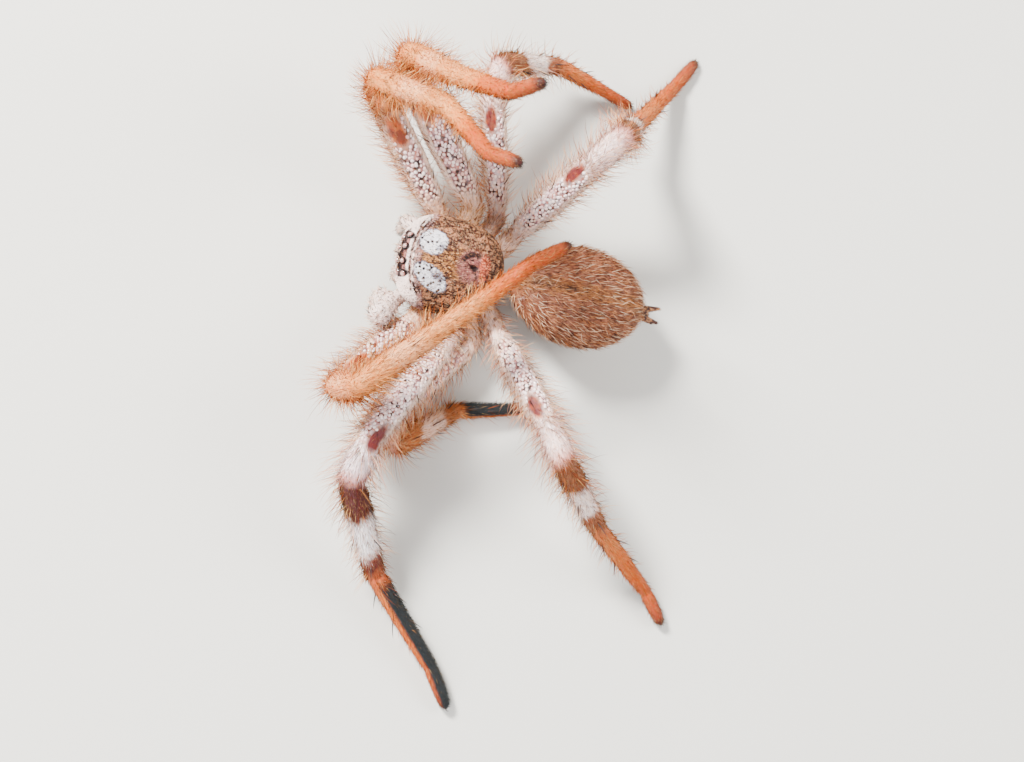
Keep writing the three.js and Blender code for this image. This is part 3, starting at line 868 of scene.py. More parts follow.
def hair_arrays(roots, lie, length, width, lift, bend, steps):
    """Points (hair, point, 3) and triangles of one hair."""
    outward = roots.outward
    lie = unit(lie - outward * dot(lie, outward)[:, None])
    side = np.cross(outward, lie)
    spot = roots.spots - outward * SUNK * MM
    step_length = (length * MM / steps)[:, None]
    points = []
    for step in range(steps + 1):
        angle = np.radians(lift - bend * step / steps)[:, None]
        direction = lie * np.cos(angle) + outward * np.sin(angle)
        if step:
            spot = spot + direction * step_length
        if step < steps:
            radius = width * MM / 2 * (1 - step / steps) ** TAPER
            up = np.cross(direction, side)
            for corner in np.arange(3) / 3 * math.tau:
                points.append(spot + radius * (side * math.cos(corner) + up * math.sin(corner)))
    points = np.stack([*points, spot], 1)
    triangles = [(0, 2, 1)]
    for step in range(steps):
        for corner in range(3):
            a, b = step * 3 + corner, step * 3 + (corner + 1) % 3
            if step == steps - 1:
                triangles.append((a, b, steps * 3))
            else:
                triangles += [(a, b, b + 3), (a, b + 3, a + 3)]
    return points, np.array(triangles)


def repeat_pattern(points, triangles, values, spread):
    """Many copies of one small mesh. Spread is where each of its points lies within a patch of OFBake."""
    count, per_copy = points.shape[:2]
    values = {name: np.repeat(value, per_copy) for name, value in values.items()}
    patch = np.stack([values["around"], values["down"]], 1) + PATCH * np.tile(spread, (count, 1))
    numbers = triangles[None] + (np.arange(count) * per_copy)[:, None, None]
    return SimpleNamespace(points=points.reshape(-1, 3), triangles=numbers.reshape(-1, 3),
                           values=values, patch=patch)


def grow(roots, lie, size=1.0, *, stray, length, width, lift, bend=0, skew=1, steps=1, limit=None, mark=None):
    """Hairs of one kind, ready to be joined with others of the same piece.

    Length and lift are ranges, bend is a number or a range, in mm and degrees.
    """
    count = len(roots.spots)
    lie = jitter(lie, stray)
    length = size * span(count, *length, skew)
    if limit:
        length = np.minimum(length, limit(roots))
    lift = span(count, *lift)
    bend = span(count, *bend) if isinstance(bend, tuple) else bend
    points, triangles = hair_arrays(roots, lie, length, width, lift, bend, steps)
    points[:, :, 2] = np.maximum(points[:, :, 2], HAIR_FLOOR * MM)
    number = np.arange(points.shape[1])
    reach = np.minimum(number // 3 / steps, 1)
    values = {**roots.values, "shade": rng.random(count)}
    if mark:
        values[mark] = np.ones(count)
    hairs = repeat_pattern(points, triangles, values, np.stack([reach, number % 3 / 3], 1))
    hairs.values["reach"] = np.tile(reach, count)
    return hairs


def join_mesh(name, parts, kept):
    """One mesh from several kinds of hair, with the named values kept as attributes."""
    starts = np.cumsum([0] + [len(part.points) for part in parts[:-1]])
    points = np.concatenate([part.points for part in parts])
    triangles = np.concatenate([part.triangles + start for part, start in zip(parts, starts)])
    patch = np.concatenate([part.patch for part in parts])
    mesh = bpy.data.meshes.new(name)
    mesh.vertices.add(len(points))
    mesh.loops.add(triangles.size)
    mesh.polygons.add(len(triangles))
    mesh.vertices.foreach_set("co", points.astype(np.float32).ravel())
    mesh.loops.foreach_set("vertex_index", triangles.astype(np.int32).ravel())
    mesh.polygons.foreach_set("loop_start", np.arange(0, triangles.size, 3, dtype=np.int32))
    mesh.update(calc_edges=True)
    mesh.shade_smooth()
    unwrap = mesh.uv_layers.new(name="OFBake")
    unwrap.data.foreach_set("uv", patch[triangles.ravel()].astype(np.float32).ravel())
    piece = add_object(name, mesh)
    for value in kept:
        set_value(piece, value, np.concatenate([
            part.values.get(value, np.zeros(len(part.points))) for part in parts]))
    return piece


# %% [markdown]
# A leg's roots come from a pattern that fills a square evenly, laid over the unrolled skin. How much skin a
# stage has is measured first, so that thick and thin stretches get the same density.

# %% Roots on a leg
SPREAD = np.array((0.7548776662, 0.5698402910))    # steps that fill a square evenly
AREA_STEPS = 1200            # along a leg, to measure its skin
ANGLE_SHAKE = 0.03           # radians


def picked(values, chosen):
    return {name: value[chosen] for name, value in values.items()}


def leg_roots(leg, density, weight):
    """Roots spread over one leg, at most density to the square mm, thinned by a weight of its values."""
    fine = np.linspace(0, 6, AREA_STEPS + 1)
    girth = skin_radius(leg, fine) * math.tau
    stretch = leg.lengths[part_of(fine)] / MM
    area = np.concatenate([[0], np.cumsum((girth * stretch)[1:] * np.diff(fine))])
    count = int(area[-1] * density)
    turns = (np.arange(count)[:, None] * SPREAD + rng.random(2)) % 1
    stage = np.interp(turns[:, 0] * area[-1], area, fine)
    angle = turns[:, 1] * math.tau + rng.normal(0, ANGLE_SHAKE, count)
    values = leg_values(leg, stage, angle)
    spots, outward = leg_points(leg, stage, angle)
    chosen = rng.random(count) < weight(SimpleNamespace(**values))
    chosen &= spots[:, 2] > FLOOR_CLEARANCE * MM
    return SimpleNamespace(spots=spots[chosen], outward=outward[chosen], values=picked(values, chosen),
                           along=leg.aims[part_of(stage[chosen])])


# %% [markdown]
# What grows where on a leg. Down covers all of it but the granules and the pad of the foot. Fur is densest
# from the knee on. Long hairs stand off the edges of the thigh, all round the knee, and off the sides of the
# shank. The pad, the scopula, is a brush of short slate-grey hairs under the foot.

# %% Leg coats
ALLOWED_AHEAD = 1.1          # mm that the long hairs may stand out ahead of the solids
LEG_LOOKS = ("stage", "banded", "spotted", "bare", "pad")
FUR_BY_STAGE = ((0, 0.8), (0.8, 0.9), (1.1, 0.6), (1.8, 0.6), (2, 1), (3, 1), (4, 0.9), (5, 0.8), (5.6, 0.6),
                (6, 0))


def down_weight(v):
    return np.clip(1 - 0.9 * v.spotted - 0.85 * v.bare - 0.9 * v.pad, 0, 1) * between(v.stage, -1, 5.97, 0.02)


def smooth_top(v):
    """Less long hair along the top of the limb, from the knee on."""
    return 1 - (0.68 + 0.22 * v.banded) * between(v.dorsal, 0.25, 2, 0.6) * between(v.stage, 2.15, 9, 0.4)


def thigh_fringe(v):
    """1 but on the thigh, where front and back edge are each as hairy as the leg's fringe says."""
    return 1 - (1 - v.fringe) * between(v.stage, 1.12, 1.86, 0.1)


def fur_weight(v):
    clear = np.clip(1 - 0.92 * v.spotted - 0.9 * v.bare - 0.85 * v.pad, 0, 1)
    return np.interp(v.stage, *zip(*FUR_BY_STAGE)) * smooth_top(v) * thigh_fringe(v) * clear


def long_weight(v):
    edge = between(np.abs(v.facing), 0.72, 2, 0.2)
    under = between(v.dorsal, -2, -0.55, 0.3)
    hip = between(v.stage, 0.25, 1.12, 0.2) * 0.35
    thigh = between(v.stage, 1.15, 1.95, 0.15) * np.maximum(edge, under) * 0.9 * thigh_fringe(v)
    knee = between(v.stage, 1.9, 3.05, 0.15)
    shank = between(v.stage, 3.0, 3.95, 0.2) * np.clip(0.35 + 0.65 * edge, 0, 1)
    foot = between(v.stage, 4.0, 4.6, 0.3) * edge * 0.8
    hairy = np.clip(hip + thigh + knee + shank + foot, 0, 1)
    return hairy * smooth_top(v) * (1 - v.bare) * (1 - 0.96 * v.pad)


def pad_weight(v):
    return v.pad * between(v.stage, -1, 5.96, 0.02)


def room_ahead(roots):
    """How long a hair may be, in mm, before its tip stands out too far ahead of the solids."""
    forward = np.clip(0.3 - roots.outward[:, 1], 0.35, 1)
    return ((roots.spots[:, 1] - cad_bounds[0][1]) / MM + ALLOWED_AHEAD) / forward


# The most to the square mm, the weight, how far the length follows the limb's thickness, its size by stage,
# and what such a hair is like
LEG_HAIRS = (
    (44, down_weight, 0, ((4, 1), (5, 0.85), (6, 0.6)),
     dict(stray=0.3, length=(0.42, 0.72), width=0.06, lift=(8, 32))),
    (15, fur_weight, 0.2, ((0, 0.8), (1, 0.9), (2, 1.2), (3, 1.15), (4, 0.95), (5, 0.75), (6, 0.5)),
     dict(stray=0.22, length=(0.8, 1.4), width=0.075, lift=(25, 52), bend=22, steps=2)),
    (9.5, long_weight, 0.2,
     ((0, 0.6), (1.1, 0.85), (1.9, 1.0), (2.1, 1.2), (3, 1.15), (4, 0.75), (5, 0.45), (6, 0.35)),
     dict(stray=0.3, length=(1.3, 3.6), skew=1.5, limit=room_ahead, width=0.064, lift=(52, 88), bend=(15, 50),
          steps=3, mark="long")),
    (60, pad_weight, 0, ((0, 1),),
     dict(stray=0.3, length=(0.3, 0.45), width=0.06, lift=(45, 75), mark="brush")),
)


def leg_coat(leg):
    spread = [leg_roots(leg, density, weight) for density, weight, *_ in LEG_HAIRS]
    kinds = []
    for roots, (_, _, follows, sizes, kind) in zip(spread, LEG_HAIRS):
        size = (1 + follows * (leg.thickness - 1)) * np.interp(roots.values["stage"], *zip(*sizes))
        kinds.append(grow(roots, roots.along, size, **kind))
    return join_mesh(leg.name + "_coat", kinds, (*LEG_LOOKS, "shade", "reach", "long", "brush"))


leg_coats = {leg.name: leg_coat(leg) for leg in legs}
print("leg coats:", {name: len(piece.data.polygons) for name, piece in leg_coats.items()})

# %% [markdown]
# The thighs carry rows of pearly granules, each a low dome about half a millimetre wide, set close like
# cobbles. Their places come from a hexagonal grid wrapped round the limb, a little shaken.

# %% Granules
GRANULE_SPACING = leg_trait(0.45, left_1=0.48, right_1=0.5)    # mm
ROW_SPACING = 0.87           # of the spacing within a row, as in a honeycomb
THIGH_START = 1.08
DOME_SIDES = 7
DOME_HEIGHT = 0.5            # of its radius
DOME_LENGTH = 1.15


def dome_pattern():
    """One unit dome: a ring in the skin, a ring at two thirds of the height, and the top."""
    turns = np.arange(DOME_SIDES) / DOME_SIDES * math.tau
    low = np.stack([np.cos(turns), np.sin(turns), np.full(DOME_SIDES, -0.5)], 1)
    high = low * (0.74, 0.74, 0) + (0, 0, 0.62)
    points = np.concatenate([low, high, [(0, 0, 0.85)]])
    triangles = []
    for i in range(DOME_SIDES):
        j = (i + 1) % DOME_SIDES
        triangles += [(i, j, j + DOME_SIDES), (i, j + DOME_SIDES, i + DOME_SIDES),
                      (i + DOME_SIDES, j + DOME_SIDES, 2 * DOME_SIDES)]
    triangles += [(0, i + 1, i) for i in range(1, DOME_SIDES - 1)]
    return points, np.array(triangles)


def granules(leg):
    spacing = GRANULE_SPACING[leg.name]
    marks = np.concatenate([[0], np.cumsum(leg.lengths)])
    first, last = np.interp((THIGH_START, THIGH_END[leg.name] - 0.1), range(len(marks)), marks)
    rows = np.interp(np.arange(first, last, spacing * ROW_SPACING * MM), marks, range(len(marks)))
    row_gap = rows[1] - rows[0]
    stages, angles = [], []
    for row, stage in enumerate(rows):
        count = round(math.tau * skin_radius(leg, stage) / spacing)
        turn = (np.arange(count) + row % 2 / 2) / count * math.tau
        stages.append(stage + rng.normal(0, 0.22 * row_gap, count))
        angles.append(turn + rng.normal(0, 0.15, count) * math.tau / count)
    stage, angle = np.concatenate(stages), np.concatenate(angles)
    values = leg_values(leg, stage, angle)
    grows = rng.random(len(stage)) < values["spotted"] * 0.97
    stage, angle, values = stage[grows], angle[grows], picked(values, grows)
    spots, outward = leg_points(leg, stage, angle)
    along = leg.aims[part_of(stage)]
    lengthwise = unit(along - outward * dot(outward, along)[:, None])
    sideways = np.cross(outward, lengthwise)
    radius = spacing * span(len(stage), 0.31, 0.49)[:, None, None] * MM
    pattern, triangles = dome_pattern()
    axes = np.stack([lengthwise * DOME_LENGTH, sideways, outward * DOME_HEIGHT], 1)
    values["shade"] = rng.random(len(stage))
    domes = repeat_pattern(spots[:, None] + radius * (pattern @ axes), triangles, values, pattern[:, :2] / 2)
    return join_mesh(leg.name + "_granules", [domes], ("shade", "stage"))


leg_granules = {leg.name: granules(leg) for leg in legs}
print("granules:", {name: len(piece.data.polygons) for name, piece in leg_granules.items()})

# %% [markdown]
# Spines are stout black bristles on thigh, shank and foot, in the pairs that such a spider has, leaning to
# the tip of the leg.

# %% Spines
SPINE_PLACES = (             # stage, and degrees round the limb
    (1.3, 40), (1.55, 140), (1.75, 60), (3.2, 20), (3.25, 160), (3.55, 35), (3.6, 145), (3.62, -60),
    (3.3, -120), (3.85, 90), (4.15, 25), (4.2, 155), (4.45, 10), (4.5, 170))
SPINE = dict(stray=0.1, length=(1.5, 2.2), width=0.17, lift=(30, 50), bend=14, steps=4)


def spines_of(leg):
    stage, turn = np.array(SPINE_PLACES).T
    angle = np.radians(turn) + rng.normal(0, 0.1, len(stage))
    spots, outward = leg_points(leg, stage, angle)
    roots = SimpleNamespace(spots=spots, outward=outward, values=leg_values(leg, stage, angle))
    bristles = grow(roots, leg.aims[part_of(stage)], leg.thickness, **SPINE)
    return join_mesh(leg.name + "_spines", [bristles], ["reach"])


leg_spines = {leg.name: spines_of(leg) for leg in legs}
print("spines on a leg:", len(SPINE_PLACES))

# %% [markdown]
# The body's markings are masks, worked out from where a point lies in the plan of the body, and stored on the
# skin. The hairs take them over from the skin at their roots. So skin and coat always agree, and the same
# recipe colours both.

# %% Body masks
MASKS = ("pale", "cream", "gold", "rosy", "dark", "orange", "smooth")
# Each is out, ahead, half-width, half-length and turn in degrees
PALE_PATCHES = ((-1.68, 1.62, 1.3, 1.42, -24), (1.98, 1.3, 1.05, 1.95, 32))
SLATE_SHADES = ((-1.2, 0.7, 0.85, 0.5, 10), (1.7, 0.75, 0.6, 0.85, 35))
PATCH_DASHES = ((-1.25, 0.32, 0.75, 0.2, 5), (2.05, 0.1, 0.75, 0.3, 35), (0.75, 2.2, 0.12, 0.8, 40))
DARK_CLUSTERS = ((-3.4, 2.4, 0.55, 0.9, -45), (3.4, 2.45, 0.34, 0.6, 45))
CLUSTER_STRIPES = 0.38       # mm from one dark stripe of a cluster to the next
ARC_REACH = 1.4              # mm from the pit to the dark arc before it
BROW_STRIPES = ((3.62, 0.95, 0.09), (3.3, 0.9, 0.08), (2.98, 0.85, 0.08))    # ahead, strength and width
TRAILING_LINES = (3.08, 3.34)    # mm behind the reference point
EYE_SHADES = ((0.76, 4.15, 0.36), (1.98, 3.85, 0.42))    # out, ahead and width, on both sides


def blot(out, ahead, centre_out, centre_ahead, half_out, half_ahead, turn=0):
    turn = math.radians(turn)
    u = (out - centre_out) * math.cos(turn) + (ahead - centre_ahead) * math.sin(turn)
    v = -(out - centre_out) * math.sin(turn) + (ahead - centre_ahead) * math.cos(turn)
    return np.exp(-((u / half_out) ** 2 + (v / half_ahead) ** 2) ** 1.5)


def blots(out, ahead, shapes):
    return sum(blot(out, ahead, *shape) for shape in shapes)


def plan_of(spots):
    """Out, ahead and up in mm, of an array of places."""
    return ((spots - np.array(BODY)) / (MM, -MM, MM)).T


def set_masks(skin, **masks):
    """Stores all seven masks, 0 where nothing is given."""
    for name in MASKS:
        set_value(skin, name, np.clip(np.zeros(len(skin.data.vertices)) + masks.get(name, 0), 0, 1))


def mark_carapace():
    out, ahead, _ = plan_of(read_array(carapace.data.vertices, "co", 3))
    slate = blots(out, ahead, SLATE_SHADES)
    pale = np.clip(3.4 * blots(out, ahead, PALE_PATCHES) - 0.6, 0, 1)
    pale = np.minimum(pale, 1 - 0.42 * np.clip(slate, 0, 1))
    rim = np.hypot(out / CARAPACE_HALF_WIDTH, ahead / np.where(ahead > 0, CARAPACE_AHEAD, CARAPACE_BEHIND))
    curve = ahead + 0.06 * out ** 2
    arcs = between(curve, 2.55, 3.78, 0.3)
    cream = between(curve, 3.78, 9, 0.2) + between(rim, 0.9, 2, 0.08) * between(ahead, 2.5, 9, 0.9)
    cream = cream + 0.36 * arcs + 0.25 * dip(curve - 3.36, 0.1)
    eye_row = between(curve, 3.98, 4.45, 0.12) * between(np.abs(out), -1, 2.3, 0.3)
    vee = between(np.abs(out), -1, 0.55 + 0.32 * (2.4 - ahead), 0.5) * between(ahead, -1.6, 2.5, 0.6)
    sides = between(np.abs(out), 2.4, 9, 1.4) * between(ahead, -5.5, 2.6, 1.2)
    hollow = blot(out, ahead, PIT_OUT, PIT_AHEAD + 0.25, 2.0, 1.85)
    rosy = np.clip(hollow + 0.55 * arcs + 0.7 * eye_row, 0, 1)

    broken = np.clip(0.5 + 0.9 * np.sin(out * 6.5 + ahead * 5 + 1.4 * np.sin(out * 2.3)), 0, 1)
    stripes = sum(strength * dip(curve - place_ahead, width) for place_ahead, strength, width in BROW_STRIPES)
    brow_line = 1.6 * dip(curve - 4.46, 0.14) * between(out, -2.5, 2.3, 0.2)
    across_cluster = (0.874 * ahead + 0.485 * np.abs(out)) / CLUSTER_STRIPES * math.tau
    clusters = blots(out, ahead, DARK_CLUSTERS) * np.clip(0.7 + 1.4 * np.sin(across_cluster), 0, 1.3)
    dashes = blots(out, ahead, PATCH_DASHES) * np.clip(0.5 + np.sin(out * 17 + ahead * 6), 0, 1)
    pit = dip(np.hypot((out - PIT_OUT) / 0.3, (ahead - PIT_AHEAD) / 0.48), 1.25)
    reach, bearing = from_pit(out, ahead)
    rays = (1 - hollow) * (1 - np.clip(pale * 2, 0, 1)) * between(ahead, -9, 2.4, 0.6)
    dark = (clusters + pit + stripes * broken * between(np.abs(out), -1, 3.6, 0.5) + brow_line + dashes
            + 0.2 * rays * (0.5 + 0.5 * np.sin(np.radians(bearing) * 13))
            + 0.95 * dip(reach - ARC_REACH, 0.3) * between(bearing, -108, -14, 22))
    for behind in TRAILING_LINES:
        dark = dark + 0.75 * dip(ahead + behind + 0.3 * out, 0.07) * between(out, 0.3, 1.2, 0.2)
    for shade_out, shade_ahead, width in EYE_SHADES:
        dark = dark + 0.95 * dip(np.hypot(np.abs(out) - shade_out, ahead - shade_ahead), width)
        dark = dark + 0.95 * dip(np.hypot(np.abs(out) + shade_out, ahead - shade_ahead), width)
    set_masks(
        carapace, pale=pale, cream=cream * (1 - 0.85 * eye_row), gold=0.3 * sides + vee, rosy=rosy, dark=dark,
        orange=1.1 * blot(out, ahead, -0.5, -4.15, 1.3, 0.6) + 0.7 * blot(out, ahead, 0.5, -4.2, 1.3, 0.5),
        smooth=0.8 * rosy)


def mark_abdomen():
    out, ahead, up = plan_of(read_array(abdomen.data.vertices, "co", 3))
    along = (ahead + ABDOMEN_MIDDLE) / (ABDOMEN_LENGTH / 2)
    upper = between(up, ABDOMEN_HEIGHT - 0.3, 99, 1.4)
    heart = dip(out, 0.55 + 0.25 * along) * between(along, 0.0, 0.85, 0.25)
    waves = 0.5 + 0.5 * np.sin(along * 17 - np.abs(out) * 1.1)
    bands = dip(np.abs(out) - 2.2, 1.3) * waves * between(along, -0.9, 0.55, 0.3)
    badge = between(along, -0.42, 0.42, 0.12) * between(np.abs(out), -1, 3.1, 0.5) * (1 - upper)
    edge = between(along, -0.55, 0.55, 0.12) * between(np.abs(out), -1, 3.6, 0.5) * (1 - upper)
    edge = edge * np.clip(1 - badge * 1.6, 0, 1)
    set_masks(
        abdomen, cream=edge * 0.8 + 0.3 * upper * between(np.abs(out), 1.0, 2.4, 1.2) * (1 - bands),
        gold=0.5 * upper * dip(out, 1.6), rosy=0.5 * (1 - upper),
        dark=upper * np.clip(0.5 * heart + 0.36 * bands, 0, 1) + badge,
        orange=edge * dip(out, 1.4) * 0.6, smooth=0.72)


mark_carapace()
mark_abdomen()
set_masks(breastplate, gold=0.25, rosy=0.5, cream=0.2)
set_masks(spinnerets, gold=0.4, rosy=0.3)
for side_name in ("left", "right"):
    set_masks(jaws[side_name], rosy=0.4, cream=0.5, smooth=0.7)
    set_masks(palps[side_name], cream=1.0, rosy=0.2, smooth=0.8)

# %% [markdown]
# On the body the roots are drawn from the skin's own triangles, each as often as its area asks. The hairs
# point backwards on the carapace and the abdomen, and towards the tip on the palps and jaws.

# %% Roots on a body skin
LOWEST_ROOT = 0.2            # mm above the floor


def skin_roots(skin, density, weight):
    """Roots over a skin, at most density to the square mm, thinned by a weight of its values and places."""
    mesh = skin.data
    mesh.calc_loop_triangles()
    corners = read_array(mesh.loop_triangles, "vertices", 3, np.int32)
    spots = read_array(mesh.vertices, "co", 3)
    normals = read_array(mesh.vertices, "normal", 3)
    a, b, c = (spots[corners[:, i]] for i in range(3))
    area = np.cumsum(np.linalg.norm(np.cross(b - a, c - a), axis=1) / 2)
    count = int(area[-1] / MM ** 2 * density)
    pick = np.searchsorted(area, (np.arange(count) + rng.random(count)) / count * area[-1])
    corners = corners[np.minimum(pick, len(corners) - 1)]
    first, second = np.sqrt(rng.random(count)), rng.random(count)
    shares = np.stack([1 - first, first * (1 - second), first * second], 1)
    values = {name: (get_value(skin, name)[corners] * shares).sum(1) for name in ("around", "down", *MASKS)}
    around = get_value(skin, "around")[corners]
    values["around"] = np.where(np.ptp(around, axis=1) > 0.1, around[:, 0], values["around"])
    root = (spots[corners] * shares[:, :, None]).sum(1)
    outward = unit((normals[corners] * shares[:, :, None]).sum(1))
    chosen = (rng.random(count) < weight(values, root)) & (root[:, 2] > LOWEST_ROOT * MM)
    return SimpleNamespace(spots=root[chosen], outward=outward[chosen], values=picked(values, chosen))


def everywhere(values, root):
    return 1


def streak_weight(values):
    return np.clip(0.3 + 0.75 * values["gold"] + 0.5 * values["rosy"] - 0.05 * values["pale"]
                   - 0.08 * values["cream"] + values["dark"], 0, 1)


def away_from_eyes(values, root):
    keep = np.ones(len(root))
    for node in EYE_NAMES:
        centre, radius, _ = eye_frame(node)
        distance = np.linalg.norm(root - np.array(centre), axis=1)
        keep *= distance > radius * (1.6 if "rear" in node else 1.3)
    return keep * (1 - 0.55 * values["rosy"])


def backwards(roots):
    return np.tile((0.0, 1.0, 0.0), (len(roots.spots), 1))


def over_carapace(roots):
    """Backwards and a little outwards, and round the front edge up over the face."""
    out, ahead, _ = plan_of(roots.spots)
    level, full = 0 * out, np.ones(len(out))
    to_pit = unit(np.stack([PIT_OUT - out, ahead - PIT_AHEAD + 1.5, level], 1))
    over_face = np.stack([0.25 * out, -full, -full], 1)
    along_edge = np.stack([np.sign(out), 0.8 * full, level], 1)
    brow = between(ahead, 4.25, 9, 0.3)[:, None]
    arc = between(ahead, 2.8, 4.0, 0.4)[:, None]
    return unit(brow * over_face + arc * along_edge + (1 - brow) * (1 - arc) * to_pit)


def down_chain(chain):
    """Along the nearest stretch of a chain of knots."""
    knots = places(np.array(chain)[:, :3])
    middles = (knots[:-1] + knots[1:]) / 2

    def lie(roots):
        nearest = np.linalg.norm(roots.spots[:, None] - middles[None], axis=2).argmin(1)
        return unit(knots[1:] - knots[:-1])[nearest]
    return lie


# %% [markdown]
# Each part of the body gets its own mix of kinds and lengths: short and dense on the carapace, longer on
# the abdomen, sparse on the breastplate, with standing hairs where the outline looks furry.

# %% Body coats
STREAK = dict(stray=0.25, length=(0.45, 0.95), width=0.11, lift=(18, 32), bend=10, steps=2, mark="streak")
body_coats = {}


def body_coat(name, skin, density, lie, length, width=0.07, weight=everywhere, streaks=0, standing=None):
    """A flat coat, dark flat streaks over it and some standing hairs, as one piece."""
    roots = skin_roots(skin, density, weight)
    kinds = [grow(roots, lie(roots), stray=0.2, length=length, width=width, lift=(5, 20))]
    if streaks:
        roots = skin_roots(skin, streaks, lambda values, root: weight(values, root) * streak_weight(values))
        kinds.append(grow(roots, lie(roots), 1 - 0.4 * roots.values["pale"], **STREAK))
    if standing:
        share, long_length, long_lift = standing
        roots = skin_roots(skin, density * share, weight)
        kinds.append(grow(roots, lie(roots), stray=0.3, length=long_length, width=0.085, lift=long_lift,
                          bend=25, steps=2, mark="long"))
    body_coats[name] = join_mesh(name + "_coat", kinds, (*MASKS, "shade", "long", "streak"))


body_coat("carapace", carapace, 88, over_carapace, (0.28, 0.55), 0.068, away_from_eyes,
          streaks=14, standing=(0.05, (0.6, 1.1), (35, 65)))
body_coat("abdomen", abdomen, 60, backwards, (0.5, 0.8),
          streaks=5, standing=(0.1, (0.9, 1.5), (25, 50)))
body_coat("breastplate", breastplate, 22, backwards, (0.4, 0.6))
body_coat("spinnerets", spinnerets, 60, backwards, (0.3, 0.45), 0.05)
for side_name, chain in JAWS.items():
    body_coat("chelicera_" + side_name, jaws[side_name], 40, down_chain(chain), (0.4, 0.7),
              streaks=3, standing=(0.12, (0.7, 1.1), (30, 55)))
for side_name, chain in PALPS.items():
    body_coat("palp_" + side_name, palps[side_name], 85, down_chain(chain), (0.35, 0.6),
              streaks=11, standing=(0.05, (0.6, 1.2), (30, 65)))
print("body coats:", {name: len(piece.data.polygons) for name, piece in body_coats.items()})

# %% [markdown]
# The markings of a leg are one node group, used by the skin of a leg and by its coat. It turns the stored
# values into a colour: a ramp along the limb, a banded ramp for the legs that show bands, the dark ground
# between the granules, the bare brown patch before the knee, and slate grey under the feet.

# %% Leg markings
PLAIN_STOPS = (
    (0, "E2B08C"), (0.15, "E6C2A6"), (0.19, "E3C0AE"), (0.31, "EFC6A4"), (0.34, "E29C60"),
    (0.42, "E2985A"), (0.5, "E09656"), (0.6, "E09858"), (0.667, "E09C60"), (0.72, "DA9252"),
    (0.755, "C4681C"), (0.79, "B04E04"), (0.86, "A04600"), (0.945, "964208"), (0.985, "38120F"),
)
BANDED_STOPS = (
    (0, "DCB8A4"), (0.15, "E0C8C2"), (0.31, "E8D8DA"), (0.335, "F5EBF0"), (0.44, "F0E0E6"), (0.485, "C8989C"),
    (0.505, "44141A"), (0.555, "4C1C1E"), (0.572, "FBF5F8"), (0.618, "FBF6F8"), (0.63, "6A2C2C"),
    (0.652, "5C2420"), (0.668, "B05830"), (0.70, "BE6428"), (0.78, "BC580C"), (0.86, "A24406"),
    (0.955, "7A2E16"), (0.985, "38120F"),
)


def new_group(name, values, colour):
    """A node group that turns named values into a colour."""
    group = bpy.data.node_groups.new(name, "ShaderNodeTree")
    for value in values:
        group.interface.new_socket(value.title(), in_out="INPUT", socket_type="NodeSocketFloat")
    group.interface.new_socket("Color", in_out="OUTPUT", socket_type="NodeSocketColor")
    given = group.nodes.new("NodeGroupInput").outputs
    paint = Paint(group)
    paint.connect(group.nodes.new("NodeGroupOutput").inputs["Color"], colour(paint, given))
    return group


def leg_colour(paint, given):
    banded = given["Banded"]
    wander = paint.minus(paint.noise(500, 2), 0.5)
    stage = paint.math("DIVIDE", paint.math("MULTIPLY_ADD", wander, 0.25, given["Stage"]), 6)
    colour = paint.mix(banded, paint.ramp(stage, PLAIN_STOPS), paint.ramp(stage, BANDED_STOPS))
    thigh = paint.times(paint.step(given["Stage"], 1.02, 1.16), paint.step(given["Stage"], 1.96, 1.84))
    colour = paint.mix(paint.times(thigh, 0.75), colour, "F8E6DC")
    net = paint.mix(paint.step(paint.noise(1500), 0.4, 0.62), "221216", "B08488")
    lilac = paint.times(banded, paint.step(paint.noise(2100, 2), 0.49, 0.56))
    colour = paint.mix(given["Spotted"], colour, paint.mix(lilac, net, "D6C8CE"))
    fresh = paint.times(paint.step(paint.noise(1100), 0.42, 0.6), paint.minus(1.1, banded))
    wine = paint.mix(fresh, paint.mix(banded, "74361E", "521020"), "A85828")
    colour = paint.mix(given["Bare"], colour, wine)
    colour = paint.mix(paint.step(paint.noise(2600, 4), 0.35, 0.75), colour, "D8A070", "SOFT_LIGHT")
    return paint.mix(given["Pad"], colour, "1A1D1F")


leg_markings = new_group("leg_markings", LEG_LOOKS, leg_colour)


def leg_hair_colour(paint):
    shade, reach, long = (paint.read(name) for name in ("shade", "reach", "long"))
    colour = paint.markings(leg_markings)
    colour = paint.mix(paint.step(shade, 0.46, 0.06), colour, "7E4A30", "MULTIPLY")
    colour = paint.mix(paint.times(paint.step(shade, 0.6, 1.0), 0.3), colour, "FAD090")
    colour = paint.mix(paint.times(reach, 0.12), colour, "F0A850")
    warm = paint.ramp(shade, (
        (0, "34140C"), (0.14, "7E3412"), (0.35, "B8561A"), (0.6, "D67A30"), (0.82, "E8A25C"), (1, "F4CC96")))
    warm = paint.mix(paint.times(paint.step(reach, 0.4, 0), 0.35), warm, "6E2E16")
    own = paint.math("MULTIPLY_ADD", paint.read("banded"), -0.1, 0.8)
    colour = paint.mix(paint.times(long, own), colour, warm)
    return paint.mix(paint.read("brush"), colour, paint.mix(shade, "15191B", "343B3F"))


leg_skin_finish = new_material(
    "leg_skin", 0.55, 0.35, lambda paint: paint.markings(leg_markings), bump=(6000, 3, 0.00006),
    more={"Subsurface Weight": 0.1, "Subsurface Radius": (0.0008, 0.0004, 0.0002)})
leg_hair_finish = new_material("leg_hair", 0.6, 0.12, leg_hair_colour)

# %% [markdown]
# The body's recipe is a second group. Its inputs are the seven masks, and noise frays their edges. The coat
# is mottled, light on dark, but for the smooth parts. Small round dots lie on the pale patches.

